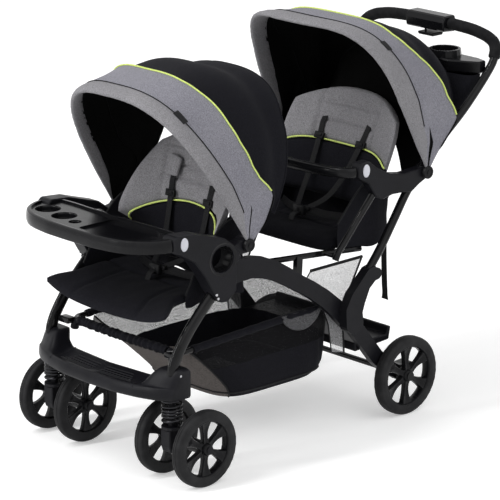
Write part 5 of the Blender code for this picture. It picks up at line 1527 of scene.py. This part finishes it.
def makeBasket():
    plan = basketPlan
    railX, frontY, frontZ, frameZ = plan["railX"], plan["frontY"], plan["frontZ"], plan["frameZ"]
    bend, corner = 0.0125, 0.030
    half = [(0.2397, plan["endY"], frameZ)]
    for i in range(5):
        a = math.radians(90 + 90 * i / 4)
        half.append((railX + bend + bend * math.cos(a), plan["endY"] - bend + bend * math.sin(a), frameZ))
    half += [(railX, -0.050, 0.370), (railX, -0.240, 0.363), (railX, -0.340, 0.358)]
    for i in range(7):
        a = math.radians(-90 * i / 6)
        half.append((railX - corner + corner * math.cos(a), frontY + corner + corner * math.sin(a), frontZ))
    half += [(0.12, frontY - 0.003, frontZ), (0.0, frontY - 0.006, frontZ)]
    full = half + [(-x, y, z) for x, y, z in half[-2::-1]]
    route = routeThrough(full, 4)
    bm = bmesh.new()
    addTube(bm, route, plan["tube"], count=14, across=(0, 0, 1))
    for s in sides.values():
        addBlock(bm, (s * 0.205 if s > 0 else -0.2493, frontY - 0.034, frontZ - 0.008),
                 (0.2493 if s > 0 else s * 0.205, frontY - 0.004, frontZ + 0.008), 0.003)
    makePiece("basketFrame", bm, "enamel", "chassis", ("basket_frame",))

    # Gathered sleeve round the front bar, with rubber ends
    bm = bmesh.new()
    bar = routeThrough([(-0.185, frontY - 0.001, frontZ), (-0.09, frontY - 0.005, frontZ),
                        (0.0, frontY - 0.006, frontZ),
                        (0.09, frontY - 0.005, frontZ), (0.185, frontY - 0.001, frontZ)], 40)

    def gathered(t):
        return 1.0 + 0.09 * math.sin(t * 2 * math.pi * 17 + 5.0 * softNoise((t * 7, 0, 0), 1.0)) \
            + 0.22 * softNoise((t * 30, 1.0, 0), 1.0)

    rings = addTube(bm, bar, 0.0125, 0.0135, 18, across=(0, 0, 1), fit=gathered)
    for i, ring in enumerate(rings):
        for n, v in enumerate(ring):
            v.co += Vector((0, 0.4, 1)) * 0.0034 * softNoise((i * 0.30, n * 0.7, 2.0), 1.0)
    makePiece("basketFrontSleeve", bm, "black", "chassis", (), 80)
    bm = bmesh.new()
    for s in sides.values():
        addTube(bm, routeThrough([(s * 0.186, frontY - 0.001, frontZ),
                                  (s * 0.200, frontY - 0.001, frontZ - 0.004),
                                  (s * 0.208, frontY - 0.004, frontZ - 0.014),
                                  (s * 0.210, frontY - 0.006, frontZ - 0.030)], 5),
                0.0125, count=18, fit=roundedEnds(0.16))
    makePiece("basketBarEnds", bm, "softPlastic", "chassis")

    # Cloth walls, from the frame down to the floor of the basket
    inner = railX - plan["tube"] * 0.87
    levels = [(1.0, inner, frontY + 0.007, 0.214), (0.86, 0.214, -0.400, 0.213), (0.70, 0.210, -0.358, 0.212),
              (0.52, 0.206, -0.314, 0.210),
              (0.34, 0.202, -0.272, 0.207), (0.18, 0.196, -0.236, 0.200), (0.08, 0.188, -0.218, 0.190),
              (0.0, 0.172, -0.204, 0.172)]
    count = 144
    rows = []
    for share, wide, front, back in levels:
        row = []
        middle, depth = (front + back) / 2, (back - front) / 2
        for i in range(count):
            a = 2 * math.pi * i / count
            c, s = math.cos(a), math.sin(a)
            x = math.copysign(wide * abs(c) ** 0.42, c)
            y = middle + math.copysign(depth * abs(s) ** 0.42, s)
            top = frontZ + (frameZ - frontZ) * min(max((y - frontY) / 0.3, 0), 1)
            z = plan["floorZ"] + (top - plan["floorZ"]) * share
            sag = math.sin(math.pi * share)
            pull = 1 - (0.016 * sag + 0.012 * sag * softNoise((a * 4.2, share * 1.5, 3.0), 1.0)
                        + 0.006 * sag * math.sin(a * 23 + 3 * share))
            row.append(Vector((x * pull, middle + (y - middle) * pull, z)))
        rows.append(row)
    bm = bmesh.new()
    grid = addGrid(bm, rows, 0, loop=True)
    wallArea = sum(f.calc_area() for f in bm.faces)
    for one, two in zip(grid, grid[1:]):
        for i in range(int(0.6225 * count), int(0.8775 * count)):
            for f in set(one[i].link_faces) & set(two[i + 1].link_faces):
                f.material_index = 1
    for f in bm.faces:
        if f.material_index == 0 and f.calc_center_median().z < plan["netAbove"]:
            f.material_index = 2
    walls = makePiece("basketWalls", bm, ["net", "frontNet", "black"], "chassis", ("basket",),
                      70)
    bm = bmesh.new()
    floor = rows[-1]
    centre = Vector((0, sum(p.y for p in floor) / count, 0.150))
    rings = []
    for k in (1.0, 0.995, 0.97, 0.7, 0.4, 0.12):
        lift = {1.0: 0.012, 0.995: 0.003}.get(k, 0.0)
        rings.append([centre + (p - centre) * k * (1.012 if k > 0.9 else 1) + Vector((0, 0,
                lift + 0.002 * softNoise((p.x * k * 9, p.y * k * 9, 0), 1.0)))
                      for p in floor])
    grid = addGrid(bm, rings, loop=True)
    bm.faces.new(grid[-1])
    makePiece("basketFloor", bm, "black", "chassis", (), 60)

    # Net windows in the floor, and net flaps that hang over the rails
    for k, (x0, x1, y0, y1) in enumerate(((-0.135, -0.012, -0.100, 0.030), (0.012, 0.135, -0.100, 0.030))):
        bm = bmesh.new()
        window = [[(x0 + (x1 - x0) * i / 8, y0 + (y1 - y0) * j / 8,
                    0.1565 + 0.0015 * softNoise((i, j, k), 0.5)) for i in range(9)]
                  for j in range(9)]
        addGrid(bm, window)
        net = makePiece("basketWindow" + "AB"[k], bm, "windowNet", "chassis")
        declareCloth([[Vector(p) for p in row] for row in window])
    for side, s in sides.items():
        flap = []
        for k in range(9):
            t = k / 8
            row = []
            for i in range(41):
                q = i / 40
                y = -0.052 + 0.166 * q
                hang = 0.050 * math.sin(math.pi * min(q * 1.15, 1)) ** 0.6 * (0.75 + 0.25 * q)
                top = frontZ + (frameZ - frontZ) * min(max((y - frontY) / 0.3, 0), 1) + 0.008
                x = railX + 0.012 + 0.004 * math.sin(math.pi * t) + 0.002 * softNoise((q * 8, t * 2, s), 1.0)
                row.append(Vector((s * (x - 0.006 * (1 - t) ** 3), y, top - 0.010 * t - hang * t)))
            flap.append(row)
        bm = bmesh.new()
        addGrid(bm, flap)
        piece = makePiece("basketFlap" + side.title(), bm, "windowNet", "chassis")
        declareCloth(flap)

    # Edge bindings and the rail sleeves
    bm = bmesh.new()
    for s in sides.values():
        sleeve = routeThrough([(s * railX, -0.385, 0.357), (s * railX, -0.240, 0.363),
                               (s * railX, -0.050, 0.370),
                               (s * railX, 0.095, 0.372)], 30)
        addTube(bm, sleeve, 0.0105, 0.0118, 14, across=(0, 0, 1),
                fit=lambda t: 1 + 0.05 * math.sin(t * 70) + 0.10 * softNoise((t * 16, 0, 0), 1.0))
    makePiece("basketRailSleeves", bm, "black", "chassis", (), 80)
    bm = bmesh.new()
    for a in (-0.245 * math.pi, -0.755 * math.pi):
        i = int(round(a / (2 * math.pi) * count)) % count
        addTube(bm, [row[i] * 1.0 for row in rows], 0.0028, count=8, across=(0, 1, 0))
    bottom = rows[-2] + [rows[-2][0]]
    addTube(bm, bottom, 0.0030, count=8, across=(0, 0, 1))
    makePiece("basketBindings", bm, "webbing", "chassis")


# Pocket under the parent tray
pocketPlan = {"low": 0.832, "height": 0.134, "run": 0.9}


def makePocket():
    plan = pocketPlan
    levels = [(0.832, 0.205, 0.650, 0.698), (0.836, 0.218, 0.645, 0.708), (0.854, 0.232, 0.643, 0.720),
              (0.892, 0.248, 0.644, 0.735),
              (0.930, 0.256, 0.655, 0.745), (0.966, 0.258, 0.668, 0.752)]
    rows = []
    for z, wide, front, back in levels:
        row = []
        middle, depth = (front + back) / 2, (back - front) / 2
        for i in range(120):
            a = 2 * math.pi * i / 120
            c, s = math.cos(a), math.sin(a)
            slack = math.sin(math.pi * (z - plan["low"]) / plan["height"])
            fold = 1 + 0.035 * slack * softNoise((a * 5, z * 14, 6.0), 1.0)
            fold += 0.012 * math.sin(a * 17) * (z - plan["low"]) / plan["height"]
            row.append(Vector((math.copysign(wide * abs(c) ** 0.5, c),
                               middle + math.copysign(depth * abs(s) ** 0.5, s) * fold, z)))
        rows.append(row)
    bm = bmesh.new()
    grid = addGrid(bm, rows, loop=True)
    bm.faces.new(grid[0][::-1])
    area = sum(f.calc_area() for f in bm.faces)
    pocket = makePiece("trayPocket", bm, "black", "rear_frame", ("tray_pocket",), 70)


# Recline strap
strapPlan = {"x": 0.186, "route": [(0.3904, 0.6335), (0.3974, 0.620), (0.4024, 0.594), (0.4044, 0.564),
                                   (0.4054, 0.460),
                                   (0.4084, 0.380), (0.4104, 0.350), (0.4114, 0.326)], "width": 0.020,
                                   "thick": 0.002}


def makeReclineStrap():
    plan = strapPlan
    line = routeThrough([(plan["x"], y, z) for y, z in plan["route"]], 8)
    front, back = [], []
    total = len(line) - 1
    for i, p in enumerate(line):
        t = i / total
        half = plan["width"] / 2 * (1 + max(0.0, (t - 0.87) / 0.13) ** 1.5 * 0.38)
        row = [p + Vector((half * k, 0.0007 * math.sin(t * 9 + k), 0)) for k in (-1, -0.93, -0.85, 0.85, 0.93,
                1)]
        front.append([q + Vector((0, -plan["thick"] / 2, 0)) for q in row])
        back.append([q + Vector((0, plan["thick"] / 2, 0)) for q in row])
    bm = bmesh.new()
    addShell(bm, front, back)
    strap = makePiece("reclineStrap", bm, "webbing", "rear_back", ("recline_strap",))


makeFinishes()
setCamera()
setStudio()
print("stage: camera, studio and finishes")
makeWheels()
makeSprings()
makeTubes()
dressMouldings()
makeHubRings()
makeGrabBar()
makeButtons()
print("stage: wheels, tubes and mouldings")
makeHood("front")
makeHood("rear")
print("stage: hoods")
makeSeats()
for seat in ("front", "rear"):
    makeHarness(seat)
    makeWell(seat)
makeSideNets()
makeChildTray()
makeFootrest()
print("stage: seats, tray and footrest")
makeBasket()
makePocket()
makeReclineStrap()
print("stage: basket, pocket and strap")
